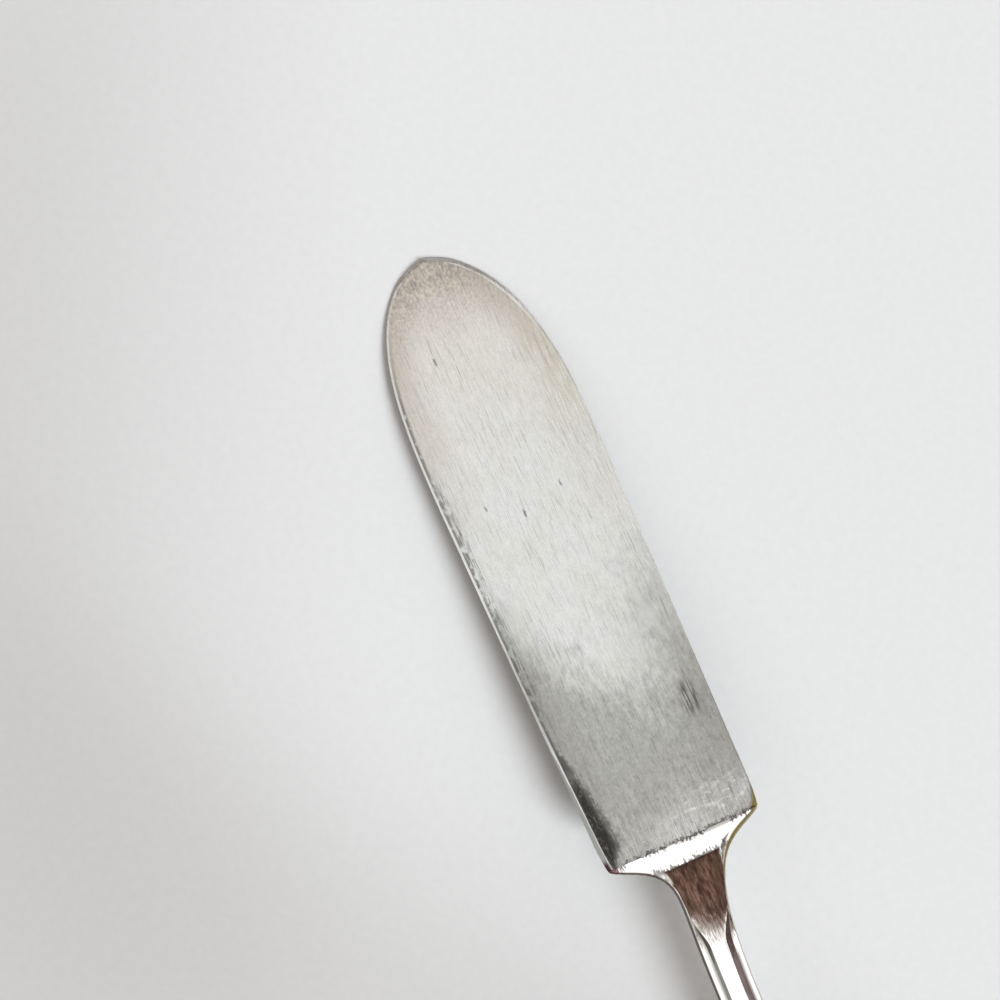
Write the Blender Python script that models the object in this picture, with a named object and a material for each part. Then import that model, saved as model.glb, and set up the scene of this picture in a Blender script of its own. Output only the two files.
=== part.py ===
"""Butter knife: a satin blade, a polished bolster and a hollow handle of two shells.

The knife lies as it does on a table, on the tip of its blade and the belly of its handle.
+X points to the tip, +Y to the back of the blade, +Z up, and all sizes are in metres.
Along the handle, places are given as their distance behind the base of the blade.
"""

import math

import bmesh
import bpy

MM = 0.001

# Fit
CLEARANCE = 0.25 * MM           # left between neighbouring pieces, filled by solder or cement

# Blade
BLADE_LENGTH = 76.0 * MM
BLADE_WIDTH = 21.3 * MM         # where the tip starts to curve in
BLADE_BASE_WIDTH = 20.0 * MM
TIP_LENGTH = 28.0 * MM
CORNER_LENGTH = 3.5 * MM        # the base corners ease in over this length
CORNER_EASE = 0.25 * MM
BLADE_BASE_THICKNESS = 2.4 * MM
BLADE_TIP_THICKNESS = 1.1 * MM
BLADE_CROWN = 0.35 * MM         # how much the middle of the upper face stands over its edges
BLADE_RISE = 4.6 * MM           # height of the blade's underside at its base
RISE_POWER = 1.25               # the blade is nearly straight, and levels off at its tip
BACK_FULLNESS = 3.05            # curve of the tip on the back
BACK_POWER = 0.5
EDGE_FULLNESS = 3.0             # curve of the tip on the spreading edge
EDGE_POWER = 0.65

# Tang, in one piece with the blade
TANG_LENGTH = 70.0 * MM
TAIL_WIDTH = 1.9 * MM           # the part that is cemented into the handle
TAIL_SLOPE = 1.2 * MM           # length over which the tang narrows to its tail
NOTCHES = 3
NOTCH_LENGTH = 3.0 * MM
NOTCH_PITCH = 9.0 * MM
NOTCH_DEPTH = 0.3 * MM

# Bolster: shoulders, neck and the spigot inside the handle
COVE = 2.0 * MM                 # how quickly the shoulders sweep in to the neck
RAMP_LENGTH = 2.4 * MM          # the bright slope behind the base of the blade
LEDGE_LENGTH = 4.5 * MM         # the borders beside the panel climb more slowly
BOLSTER_LIP = 0.35 * MM         # metal over the tang at the front of the bolster
NECK_WIDTH = 4.7 * MM
NECK_THICKNESS = 4.4 * MM
NECK_AT = 18.0 * MM             # the handle starts to widen here
SPIGOT_LENGTH = 6.0 * MM
SPIGOT_WALL = 0.45 * MM

# Handle
HANDLE_MOUTH = 24.0 * MM        # where the bolster ends and the shells begin
HANDLE_END = 102.0 * MM         # the butt
HANDLE_WIDTH = 13.0 * MM
HANDLE_THICKNESS = 6.4 * MM
HANDLE_SET = 1.8 * MM           # the handle runs this far to the back of the blade's middle
SET_FROM = 2.0 * MM
SET_LENGTH = 7.7 * MM
SHELL_WALL = 0.5 * MM
BELLY_LENGTH = 10.0 * MM        # the flat that rests on the table
BELLY_SQUARENESS = 0.72
BUTT_LENGTH = 8.5 * MM          # the rounded end
BUTT_THIN_SHARE = 0.55          # share of its thickness that the butt loses at its end
FLARE_POWER = 1.65              # how late the handle widens

# Raised panel along the top of neck and handle
PANEL_RISE = 0.35 * MM
PANEL_HEAD_WIDTH = 7.2 * MM     # its upper end, between the shoulders
PANEL_FROM = 4.0 * MM           # the borders open out between these two places
PANEL_TO = 11.5 * MM
PANEL_OPENING = 0.25            # share of their width that the borders start with
PANEL_BORDER = 0.65 * MM
PANEL_FLANK = 0.6 * MM
BORDER_SHARE = 0.77             # the most of the half width that edge, border and flank take up
EDGE_ROUND = 0.3 * MM
EDGE_CORNER = 0.3               # where the middle of the rounded edge lies

# Fineness of the faceted surfaces
CORNER_STEPS = 3
BLADE_STEPS = 7
TIP_STEPS = 12
TIP_TURN = math.radians(88.0)
TANG_STEPS = 10
SHOULDER_STEPS = 22
HANDLE_STEPS = 12
BUTT_STEPS = 7
BUTT_TURN_SHARE = 0.96          # how much of a quarter turn the rounded end makes
COLUMNS = (0.97, 0.8, 0.45, 0.0, -0.45, -0.8, -0.97)
FLAT_ANGLE = 67.5               # the belly is flat between this angle and its mirror image
BELLY_ANGLES = (22.5, 45.0, FLAT_ANGLE, 180.0 - FLAT_ANGLE, 135.0, 157.5)
SHARP_ANGLE = math.radians(30.0)
MERGE_DISTANCE = 1e-7

BLADE_STRAIGHT = BLADE_LENGTH - TIP_LENGTH
BELLY_TO = HANDLE_END - BUTT_LENGTH
BELLY_FROM = BELLY_TO - BELLY_LENGTH
SPIGOT_END = HANDLE_MOUTH + SPIGOT_LENGTH


def ease(share):
    """Runs smoothly from 0 to 1."""
    share = min(max(share, 0.0), 1.0)
    return share * share * (3.0 - 2.0 * share)


def ease_out(share):
    """Starts at once and comes smoothly to 1."""
    share = min(max(share, 0.0), 1.0)
    return 1.0 - (1.0 - share) ** 2


def flare(share):
    """Widens slowly at first and levels off at 1."""
    share = min(max(share, 0.0), 1.0)
    return share ** FLARE_POWER * (1.0 + FLARE_POWER * (1.0 - share))


def blade_half_width(x, fullness, power):
    """Half width of one side of the blade, x in front of its base."""
    base = BLADE_BASE_WIDTH / 2
    widest = BLADE_WIDTH / 2
    if x <= BLADE_STRAIGHT:
        corner = max(0.0, 1.0 - x / CORNER_LENGTH)
        return base + (widest - base) * x / BLADE_STRAIGHT - CORNER_EASE * corner ** 2
    return widest * (1.0 - ((x - BLADE_STRAIGHT) / TIP_LENGTH) ** fullness) ** power


def blade_underside(x):
    return BLADE_RISE * ((BLADE_LENGTH - x) / BLADE_LENGTH) ** RISE_POWER


def blade_thickness(x):
    return BLADE_BASE_THICKNESS + (BLADE_TIP_THICKNESS - BLADE_BASE_THICKNESS) * x / BLADE_LENGTH


def half_width(back):
    """Half width of bolster and handle, up to where the butt starts to round."""
    neck = NECK_WIDTH / 2
    shoulder = BLADE_BASE_WIDTH / 2 - CORNER_EASE - neck
    widening = flare((back - NECK_AT) / (BELLY_TO - NECK_AT))
    return neck + shoulder / (1.0 + (back / COVE) ** 2) + (HANDLE_WIDTH / 2 - neck) * widening


def half_thickness(back):
    """Half thickness of neck and handle behind the slope of the shoulders."""
    neck = NECK_THICKNESS / 2
    return neck + (HANDLE_THICKNESS / 2 - neck) * flare((back - NECK_AT) / (BELLY_FROM - NECK_AT))


def side_set(back):
    """How far the middle of the handle lies towards the back of the blade."""
    run = max(0.0, back - SET_FROM)
    return HANDLE_SET * run ** 2 / (run ** 2 + SET_LENGTH ** 2)


def spine_height(back):
    """Height of the middle line of bolster and handle, which arches from blade to belly."""
    start = BLADE_RISE + BLADE_BASE_THICKNESS / 2
    climb = RISE_POWER * BLADE_RISE / BLADE_LENGTH * BELLY_FROM
    along = min(back / BELLY_FROM, 1.0)
    fall = ease(along)
    return start * (1.0 - fall) + climb * along * (1.0 - along) ** 2 + HANDLE_THICKNESS / 2 * fall


def tang_half_width():
    return half_width(HANDLE_MOUTH) - SHELL_WALL - SPIGOT_WALL - 2 * CLEARANCE


def tang_half_thickness():
    room = half_thickness(HANDLE_MOUTH) - PANEL_RISE / 2
    return room - SHELL_WALL - SPIGOT_WALL - 2 * CLEARANCE


def tang_height(back):
    """Height of the tang's middle, which dips to stay centred under the raised panel."""
    return spine_height(back) - PANEL_RISE / 2 * ease(back / PANEL_TO)


def front_half_thickness():
    return tang_half_thickness() + CLEARANCE + BOLSTER_LIP


def panel_details(back, half):
    """Rounding of the edge, and half widths of the border's inner edge and of the panel.

    The borders open out along the neck, and draw together where the butt is narrow.
    """
    along = ease((back - PANEL_FROM) / (PANEL_TO - PANEL_FROM))
    opening = PANEL_OPENING + (1.0 - PANEL_OPENING) * along
    small = min(1.0, half * BORDER_SHARE / (EDGE_ROUND + PANEL_BORDER + PANEL_FLANK))
    edge = EDGE_ROUND * small
    border = half - edge - PANEL_BORDER * opening * small
    panel = border - PANEL_FLANK * opening * small
    return edge, border, min(panel, PANEL_HEAD_WIDTH / 2)


def belly_point(angle, half, bottom):
    """A point of the rounded underside, with a flat in its middle."""
    side = math.cos(math.radians(angle))
    drop = math.sin(math.radians(angle)) / math.sin(math.radians(FLAT_ANGLE))
    across = math.copysign(abs(side) ** BELLY_SQUARENESS, side)
    return -half * across, -bottom * min(1.0, drop ** BELLY_SQUARENESS)


def ring_at(back, half, top, ledge, bottom, details):
    """One cross-section of bolster or handle, as points from the back seam over the top."""
    middle = side_set(back)
    height = spine_height(back)
    edge, border, panel = details
    upper = [
        (half, 0.0),
        (half, ledge - edge),
        (half - EDGE_CORNER * edge, ledge - EDGE_CORNER * edge),
        (half - edge, ledge),
        (border, ledge),
        (panel, top),
    ]
    upper += [(-y, z) for y, z in reversed(upper)]
    lower = [belly_point(angle, half, bottom) for angle in BELLY_ANGLES]
    return [(-back, middle + y, height + z) for y, z in upper + lower]


def bolster_ring(back):
    front = front_half_thickness()
    neck = half_thickness(back)
    top = front + (neck - front) * ease_out(back / RAMP_LENGTH)
    ledge = front + (neck - PANEL_RISE - front) * ease_out(back / LEDGE_LENGTH)
    half = half_width(back)
    return ring_at(back, half, top, ledge, top, panel_details(back, half))


def spigot_ring(back):
    """The plain tongue of the bolster inside the mouth of the handle."""
    inset = SHELL_WALL + CLEARANCE
    half = half_width(HANDLE_MOUTH) - inset
    bottom = half_thickness(HANDLE_MOUTH) - inset
    top = bottom - PANEL_RISE
    details = (EDGE_ROUND, half - 2 * EDGE_ROUND, half - 3 * EDGE_ROUND)
    return ring_at(back, half, top, top, bottom, details)


def handle_ring(share, inset, first):
    """Cross-section of the hollow handle, or of what lies inset inside it.

    Share runs from 0 at first to 1 where the butt starts to round, and on to 2 at its end.
    """
    if share <= 1.0:
        back = first + (BELLY_TO - first) * share
        half = half_width(back) - inset
        thick = half_thickness(back) - inset
    else:
        turn = (share - 1.0) * math.pi / 2
        back = BELLY_TO + (BUTT_LENGTH - inset) * math.sin(turn)
        half = (HANDLE_WIDTH / 2 - inset) * math.cos(turn)
        thick = (HANDLE_THICKNESS / 2 - inset) * (1.0 - BUTT_THIN_SHARE * (1.0 - math.cos(turn)))
    return ring_at(back, half, thick, thick - PANEL_RISE, thick, panel_details(back, half))


def handle_shares(first):
    """Shares for handle_ring, with a step where the flat belly begins."""
    belly = (BELLY_FROM - first) / (BELLY_TO - first)
    shares = [belly * step / HANDLE_STEPS for step in range(HANDLE_STEPS + 1)]
    shares.append(1.0)
    shares += [1.0 + BUTT_TURN_SHARE * step / BUTT_STEPS for step in range(1, BUTT_STEPS + 1)]
    return shares


def blade_ring(x):
    """Cross-section of the blade: flat below, crowned above, with a softened edge."""
    back = blade_half_width(x, BACK_FULLNESS, BACK_POWER)
    edge = blade_half_width(x, EDGE_FULLNESS, EDGE_POWER)
    low = blade_underside(x)
    thick = blade_thickness(x)
    crown = BLADE_CROWN * min(1.0, 2.0 * (back + edge) / BLADE_WIDTH)

    def across(share):
        return share * (back if share > 0.0 else edge)

    upper = [(x, across(share), low + thick - crown * share ** 2) for share in COLUMNS]
    lower = [(x, across(share), low) for share in reversed(COLUMNS)]
    middle = low + (thick - crown) / 2
    return [(x, back, middle)] + upper + [(x, -edge, middle)] + lower


def blade_rings():
    places = [CORNER_LENGTH * step / CORNER_STEPS for step in range(CORNER_STEPS)]
    run = BLADE_STRAIGHT - CORNER_LENGTH
    places += [CORNER_LENGTH + run * step / BLADE_STEPS for step in range(BLADE_STEPS + 1)]
    turn = TIP_TURN / TIP_STEPS
    places += [BLADE_STRAIGHT + TIP_LENGTH * math.sin(turn * step) for step in range(1, TIP_STEPS + 1)]
    return [blade_ring(x) for x in reversed(places)]


def tang_ring(back, half, thick):
    """Cross-section of the tang, with as many points as the blade's."""
    middle = side_set(back)
    height = tang_height(max(back, 0.0))
    rows = [half * share / COLUMNS[0] for share in COLUMNS]
    upper = [(-back, middle + row, height + thick) for row in rows]
    lower = [(-back, middle + row, height - thick) for row in reversed(rows)]
    return [(-back, middle + half, height)] + upper + [(-back, middle - half, height)] + lower


def tang_rings(first, grow):
    """Rings of the tang from first to its end, grown on all sides for a cutter."""
    root = tang_half_width() + grow
    tail = TAIL_WIDTH / 2 + grow
    thick = tang_half_thickness() + grow
    root_to = SPIGOT_END - 2 * CLEARANCE + grow
    run = (root_to - first) / TANG_STEPS
    rings = [tang_ring(first + run * step, root, thick) for step in range(TANG_STEPS + 1)]
    rings.append(tang_ring(root_to + TAIL_SLOPE, tail, thick))
    for notch in range(NOTCHES):
        start = SPIGOT_END + NOTCH_PITCH * (notch + 0.5)
        rings.append(tang_ring(start + grow, tail, thick))
        rings.append(tang_ring(start + NOTCH_LENGTH / 2, tail - NOTCH_DEPTH, thick))
        rings.append(tang_ring(start + NOTCH_LENGTH - grow, tail, thick))
    rings.append(tang_ring(TANG_LENGTH + grow, tail, thick))
    return rings


def split_ring(ring, upper):
    """The upper or lower half of a ring, drawn back from the seam by half a clearance."""
    below = len(BELLY_ANGLES)
    if upper:
        part = ring[:-below]
        lift = CLEARANCE / 2
    else:
        part = ring[-below - 1:] + ring[:1]
        lift = -CLEARANCE / 2
    ends = (0, len(part) - 1)
    return [(x, y, z + lift if spot in ends else z) for spot, (x, y, z) in enumerate(part)]


def bridge(mesh, first, second, closed=True):
    """Faces between two rows of points."""
    count = len(first)
    for here in range(count if closed else count - 1):
        there = (here + 1) % count
        mesh.faces.new((first[here], first[there], second[there], second[here]))


def finish_mesh(name, mesh, material, frame):
    bmesh.ops.remove_doubles(mesh, verts=mesh.verts, dist=MERGE_DISTANCE)
    bmesh.ops.recalc_face_normals(mesh, faces=mesh.faces)
    data = bpy.data.meshes.new(name)
    mesh.to_mesh(data)
    mesh.free()
    data.shade_smooth()
    data.set_sharp_from_angle(angle=SHARP_ANGLE)
    data.materials.append(material)
    thing = bpy.data.objects.new(name, data)
    bpy.context.collection.objects.link(thing)
    thing.parent = frame
    return thing


def loft(name, rings, material, frame):
    """A solid skinned over closed rings, with both ends capped."""
    mesh = bmesh.new()
    rows = [[mesh.verts.new(point) for point in ring] for ring in rings]
    for first, second in zip(rows, rows[1:]):
        bridge(mesh, first, second)
    mesh.faces.new(rows[0])
    mesh.faces.new(rows[-1])
    return finish_mesh(name, mesh, material, frame)


def half_shell(name, outer, inner, material, frame):
    """A half of the handle: outer and inner skin, rims along the seam and round the mouth."""
    mesh = bmesh.new()
    skins = []
    for rings in (outer, inner):
        rows = [[mesh.verts.new(point) for point in ring] for ring in rings]
        for first, second in zip(rows, rows[1:]):
            bridge(mesh, first, second, closed=False)
        mesh.faces.new(rows[-1])
        skins.append(rows)
    outside, inside = skins
    bridge(mesh, outside[0], inside[0], closed=False)
    for side in (0, -1):
        bridge(mesh, [row[side] for row in outside], [row[side] for row in inside], closed=False)
    bridge(mesh, [outside[-1][0], outside[-1][-1]], [inside[-1][0], inside[-1][-1]], closed=False)
    return finish_mesh(name, mesh, material, frame)


def cut(thing, cutter):
    modifier = thing.modifiers.new("tang slot", "BOOLEAN")
    modifier.operation = "DIFFERENCE"
    modifier.solver = "EXACT"
    modifier.object = cutter


def make_material(name, colour, metallic, roughness):
    material = bpy.data.materials.new(name)
    material.use_nodes = True
    shader = material.node_tree.nodes["Principled BSDF"]
    shader.inputs["Base Color"].default_value = (*colour, 1.0)
    shader.inputs["Metallic"].default_value = metallic
    shader.inputs["Roughness"].default_value = roughness
    return material


def clear_scene():
    for thing in list(bpy.data.objects):
        bpy.data.objects.remove(thing, do_unlink=True)


def make_frame():
    """An empty that puts the origin under the middle of the knife's length."""
    frame = bpy.data.objects.new("knife_frame", None)
    bpy.context.collection.objects.link(frame)
    frame.location = ((HANDLE_END - BLADE_LENGTH) / 2, 0.0, 0.0)
    return frame


def make_blade(frame):
    finish = make_material("satin_silver", (0.70, 0.69, 0.66), 1.0, 0.34)
    loft("blade", blade_rings() + tang_rings(0.0, 0.0), finish, frame)


def make_tang_cutter(frame):
    """The room that the tang takes up in bolster and filler."""
    guide = make_material("guide", (0.5, 0.5, 0.5), 0.0, 0.5)
    cutter = loft("tang_cutter", tang_rings(-RAMP_LENGTH, CLEARANCE), guide, frame)
    cutter.hide_render = True
    cutter.display_type = "WIRE"
    return cutter


def make_bolster(frame, cutter):
    finish = make_material("polished_silver", (0.80, 0.79, 0.77), 1.0, 0.12)
    first = CLEARANCE
    run = HANDLE_MOUTH - CLEARANCE - first
    shares = [(step / SHOULDER_STEPS) ** 2 for step in range(SHOULDER_STEPS + 1)]
    rings = [bolster_ring(first + run * share) for share in shares]
    rings.append(spigot_ring(first + run))
    rings.append(spigot_ring(SPIGOT_END))
    cut(loft("bolster", rings, finish, frame), cutter)


def make_shells(frame):
    finish = make_material("handle_silver", (0.78, 0.77, 0.75), 1.0, 0.16)
    shares = handle_shares(HANDLE_MOUTH)
    outer = [handle_ring(share, 0.0, HANDLE_MOUTH) for share in shares]
    inner = [handle_ring(share, SHELL_WALL, HANDLE_MOUTH) for share in shares]
    for name, upper in (("handle_top_shell", True), ("handle_bottom_shell", False)):
        outside = [split_ring(ring, upper) for ring in outer]
        inside = [split_ring(ring, upper) for ring in inner]
        half_shell(name, outside, inside, finish, frame)


def make_filler(frame, cutter):
    finish = make_material("handle_cement", (0.46, 0.42, 0.36), 0.0, 0.9)
    first = SPIGOT_END + CLEARANCE
    inset = SHELL_WALL + CLEARANCE
    rings = [handle_ring(share, inset, first) for share in handle_shares(first)]
    cut(loft("handle_filler", rings, finish, frame), cutter)


def main():
    clear_scene()
    frame = make_frame()
    make_blade(frame)
    cutter = make_tang_cutter(frame)
    make_bolster(frame, cutter)
    make_shells(frame)
    make_filler(frame, cutter)


main()
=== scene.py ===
# %% [markdown]
# # A butter knife, dressed for the camera
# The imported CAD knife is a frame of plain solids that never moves. This lesson models finer pieces
# around it, gives them satin and polished silver, and lights them on a pale table. Each step says
# first what the thing is on a real knife, and then makes it with the tools a hand would use.

import math
from functools import reduce

import bmesh
import bpy
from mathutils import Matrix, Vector


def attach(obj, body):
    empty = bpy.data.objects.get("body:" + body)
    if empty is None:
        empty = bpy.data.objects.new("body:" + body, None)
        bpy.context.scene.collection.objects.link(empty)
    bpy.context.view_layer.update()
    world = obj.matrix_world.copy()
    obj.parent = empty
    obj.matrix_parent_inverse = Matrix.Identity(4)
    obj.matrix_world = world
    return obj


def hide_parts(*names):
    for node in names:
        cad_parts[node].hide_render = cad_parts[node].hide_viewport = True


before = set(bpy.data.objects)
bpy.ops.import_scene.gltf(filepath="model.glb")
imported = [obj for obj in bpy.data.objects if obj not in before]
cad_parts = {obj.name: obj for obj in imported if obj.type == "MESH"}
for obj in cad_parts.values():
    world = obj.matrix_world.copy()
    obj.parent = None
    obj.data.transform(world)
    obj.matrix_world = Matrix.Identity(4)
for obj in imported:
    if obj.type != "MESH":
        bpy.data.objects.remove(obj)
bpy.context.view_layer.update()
print("CAD nodes:", sorted(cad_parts))

# %% [markdown]
# ## Small helpers for edit mode
# Blender's operators act on whatever is selected, and loading the knife leaves its solids selected.
# So every new piece begins with nothing selected, and inside edit mode points are picked in code by
# where they lie, which stands in for a box select.

# %% Helpers for selecting
MM = 0.001
NEAR = 1e-6                     # points closer than this count as being in one place


def start_fresh():
    """Leaves edit mode and deselects everything."""
    if bpy.context.object is not None and bpy.context.object.mode != "OBJECT":
        bpy.ops.object.mode_set(mode="OBJECT")
    bpy.ops.object.select_all(action="DESELECT")


def edit(thing):
    """Goes into edit mode on one object, with points as what is selected."""
    bpy.context.view_layer.objects.active = thing
    thing.select_set(True)
    bpy.ops.object.mode_set(mode="EDIT")
    bpy.ops.mesh.select_mode(type="VERT")
    return bmesh.from_edit_mesh(thing.data)


def pick(mesh, test):
    """Selects just the points that pass a test."""
    for point in mesh.verts:
        point.select = bool(test(point))
    mesh.select_flush_mode()


print("helpers ready, one unit is a metre and MM is", MM)

# %% [markdown]
# ## The blade's outline
# A butter knife's blade is a broad plate with nearly straight sides and a tip that curves in more on
# the spreading edge than on the back. The sizes below are those of the CAD solid, so the dressed
# blade fits where the plain one was. Places along the blade are measured from its base.

# %% Sizes of the blade
BASE_AT = 13.0 * MM             # where the base of the blade lies on the X axis
BLADE_LENGTH = 76.0 * MM
BLADE_MADE = 75.98 * MM         # the very tip is a short blunt edge
BLADE_WIDTH = 21.299 * MM
BLADE_BASE_WIDTH = 20.0 * MM
TIP_LENGTH = 28.0 * MM
CORNER_LENGTH = 3.5 * MM
CORNER_EASE = 0.25 * MM
BLADE_BASE_THICKNESS = 2.4 * MM
BLADE_TIP_THICKNESS = 1.1 * MM
BLADE_CROWN = 0.35 * MM
BLADE_RISE = 4.6 * MM
RISE_POWER = 1.25
BACK_CURVE = (3.05, 0.5)        # fullness and power of the tip's curve
EDGE_CURVE = (3.0, 0.65)


def ease(share):
    share = min(max(share, 0.0), 1.0)
    return share * share * (3.0 - 2.0 * share)


def blade_half_width(x, curve):
    fullness, power = curve
    base = BLADE_BASE_WIDTH / 2
    widest = BLADE_WIDTH / 2
    straight = BLADE_LENGTH - TIP_LENGTH
    if x <= straight:
        corner = max(0.0, 1.0 - x / CORNER_LENGTH)
        return base + (widest - base) * x / straight - CORNER_EASE * corner ** 2
    return widest * (1.0 - ((x - straight) / TIP_LENGTH) ** fullness) ** power


def blade_underside(x):
    return BLADE_RISE * ((BLADE_LENGTH - x) / BLADE_LENGTH) ** RISE_POWER


def blade_thickness(x):
    return BLADE_BASE_THICKNESS + (BLADE_TIP_THICKNESS - BLADE_BASE_THICKNESS) * x / BLADE_LENGTH


print("blade half width at its base and its widest, in mm:",
      [round(blade_half_width(x, BACK_CURVE) / MM, 2) for x in (0.0, BLADE_LENGTH - TIP_LENGTH)])

# %% [markdown]
# ## Cutting up a sheet for the blade
# The blade could be one subdivided box, but then its rounded edge would cost points everywhere. A
# plane that is bisected only where the shape needs points stays light: close cuts round the tip and
# beside the edges, wide ones on the flat. The points of a cut straight across the blade are called a
# row here, and those of a lengthwise cut a column. The flat sheet is also the moment to lay out its UV
# map, because U then runs straight across the blade, and the brushed finish can follow it later.

# %% A flat sheet with rows and columns
TANG_SHARE = 0.113              # the tang's half width as a share of the base
INNER_COLUMNS = (TANG_SHARE, 0.3, 0.48, 0.64, 0.76, 0.84, 0.88)
EDGE_COLUMNS = (0.9, 0.912, 0.924, 0.936, 0.946, 0.956, 0.964, 0.972, 0.98, 0.987, 0.994)
CORNER_ROWS = (0.15, 0.3, 0.5, 0.7, 0.95, 1.2, 1.6, 2.0, 2.5, 3.2, 4.0)
ROW_STEP = 2.0 * MM
TIP_ROWS = 34
TIP_TURN = math.radians(87.8)


def blade_rows():
    straight = BLADE_LENGTH - TIP_LENGTH
    rows = [0.0] + [place * MM for place in CORNER_ROWS]
    while rows[-1] + ROW_STEP < straight:
        rows.append(rows[-1] + ROW_STEP)
    rows.append(straight)
    rows += [straight + TIP_LENGTH * math.sin(TIP_TURN * step / TIP_ROWS) for step in range(1, TIP_ROWS)]
    return rows + [BLADE_MADE]


def slice_sheet(axis, places):
    """Bisects everything at the given places along one axis."""
    way = [float(axis == number) for number in range(3)]
    for place in places:
        bpy.ops.mesh.select_all(action="SELECT")
        bpy.ops.mesh.bisect(plane_co=[place * part for part in way], plane_no=way, threshold=NEAR)


start_fresh()
bpy.ops.mesh.primitive_plane_add(size=1.0)
blade = bpy.context.object
blade.name = "blade_plate"
sheet = edit(blade)
bpy.ops.transform.translate(value=(0.5, 0.0, 0.0))
bpy.ops.transform.resize(value=(BLADE_MADE, BLADE_WIDTH, 1.0), center_override=(0.0, 0.0, 0.0))
ROWS = blade_rows()
slice_sheet(0, ROWS[1:-1])
one_side = INNER_COLUMNS + EDGE_COLUMNS
columns = [0.0] + list(one_side) + [-share for share in one_side]
slice_sheet(1, [share * BLADE_WIDTH / 2 for share in columns])
sheet = bmesh.from_edit_mesh(blade.data)
lay = sheet.loops.layers.uv.verify()
for face in sheet.faces:
    for corner in face.loops:
        corner[lay].uv = (corner.vert.co.y / BLADE_WIDTH + 0.5, corner.vert.co.x / BLADE_LENGTH)
bmesh.update_edit_mesh(blade.data)
print("sheet:", len(sheet.verts), "points,", len(sheet.faces), "faces")

# %% [markdown]
# ## Crown, outline and rise
# A rolled and hand-finished blade is not flat: its middle stands a little over its edges. Each column
# is lowered by what this crown takes away. Then each row is squeezed to the outline, one side at a
# time because the two sides differ, and lifted to its height above the table.

# %% Shape the upper face
FULL_CROWN_SHARE = 0.5          # the crown is full where the blade has at least this share of its width


def tip_fade(x):
    """The crown flattens out where the tip is narrow."""
    width = blade_half_width(x, BACK_CURVE) + blade_half_width(x, EDGE_CURVE)
    return min(1.0, width / (FULL_CROWN_SHARE * BLADE_WIDTH))


for share in columns + [1.0, -1.0]:
    pick(sheet, lambda point: abs(point.co.y - share * BLADE_WIDTH / 2) < NEAR)
    bpy.ops.transform.translate(value=(0.0, 0.0, -BLADE_CROWN * share ** 2))

for x in ROWS:
    for side, curve in ((1.0, BACK_CURVE), (-1.0, EDGE_CURVE)):
        squeeze = blade_half_width(x, curve) / (BLADE_WIDTH / 2)
        pick(sheet, lambda point: abs(point.co.x - x) < NEAR and point.co.y * side > NEAR)
        bpy.ops.transform.resize(value=(1.0, squeeze, tip_fade(x)), center_override=(x, 0.0, 0.0))
    pick(sheet, lambda point: abs(point.co.x - x) < NEAR)
    bpy.ops.transform.translate(value=(0.0, 0.0, blade_underside(x) + blade_thickness(x)))
print("highest point of the face in mm:", round(max(point.co.z for point in sheet.verts) / MM, 2))

# %% [markdown]
# ## The bevelled edge
# The back of the blade carries a bright bevel, wider near the base, and the spreading edge is only
# broken. At the base the spreading edge runs round a small corner, and towards the tip the plate is
# thinned. Every point near the outline is pushed down along these curves. The points also remember how
# far inside the bevel they lie, so that the finish can polish the bevel and leave dirt beside it.

# %% Push the bevel down
BACK_BEVEL = 0.32 * MM
BASE_BEVEL = 0.42 * MM          # by how much the back's bevel is wider at the base
BASE_REACH = 24.0 * MM
EDGE_BEVEL = 0.14 * MM
CORNER_BEVEL = 0.60 * MM        # by how much the edge's bevel is wider at the corner
CORNER_REACH = 3.0 * MM
WORN_BEVEL = 0.40 * MM          # by how much the edge's bevel is wider towards the tip
WORN_FROM, WORN_OVER = 48.0 * MM, 14.0 * MM
CORNER_RADIUS = 1.2 * MM
BEVEL_FALL = 0.22               # depth of a bevel against its width
EDGE_FALL = 0.10
BASE_FALL = 0.40                # by how much it is steeper at the base
BEVEL_CURVE = 1.4
TIP_THIN = 0.6 * MM             # how much is taken off the top towards the tip
TIP_FROM, TIP_OVER = 50.0 * MM, 26.0 * MM
END_DROP = 0.22 * MM            # how much the rim is worn down at the very tip
END_FROM, END_OVER = 74.3 * MM, 1.7 * MM
PROBE = 0.05 * MM               # how far to each side of a point the outline's slant is read


def outline_gap(x, y):
    """Distance of a point on the face from the outline beside it."""
    curve = BACK_CURVE if y > 0.0 else EDGE_CURVE
    ahead, behind = min(x + PROBE, BLADE_MADE), max(x - PROBE, 0.0)
    lean = (blade_half_width(ahead, curve) - blade_half_width(behind, curve)) / (ahead - behind)
    return (blade_half_width(x, curve) - abs(y)) / math.sqrt(1.0 + lean ** 2)


def bevel_width(x, y):
    if y > 0.0:
        return BACK_BEVEL + BASE_BEVEL * (1.0 - ease(x / BASE_REACH))
    worn = WORN_BEVEL * ease((x - WORN_FROM) / WORN_OVER)
    return EDGE_BEVEL + worn + CORNER_BEVEL * (1.0 - ease(x / CORNER_REACH))


def inside_bevel(x, y):
    """How far a point lies inside the line where the bevel starts."""
    inside = outline_gap(x, y) - bevel_width(x, y)
    if y < 0.0 and x < CORNER_RADIUS and inside < CORNER_RADIUS:
        inside = CORNER_RADIUS - math.hypot(CORNER_RADIUS - x, CORNER_RADIUS - inside)
    return inside


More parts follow.
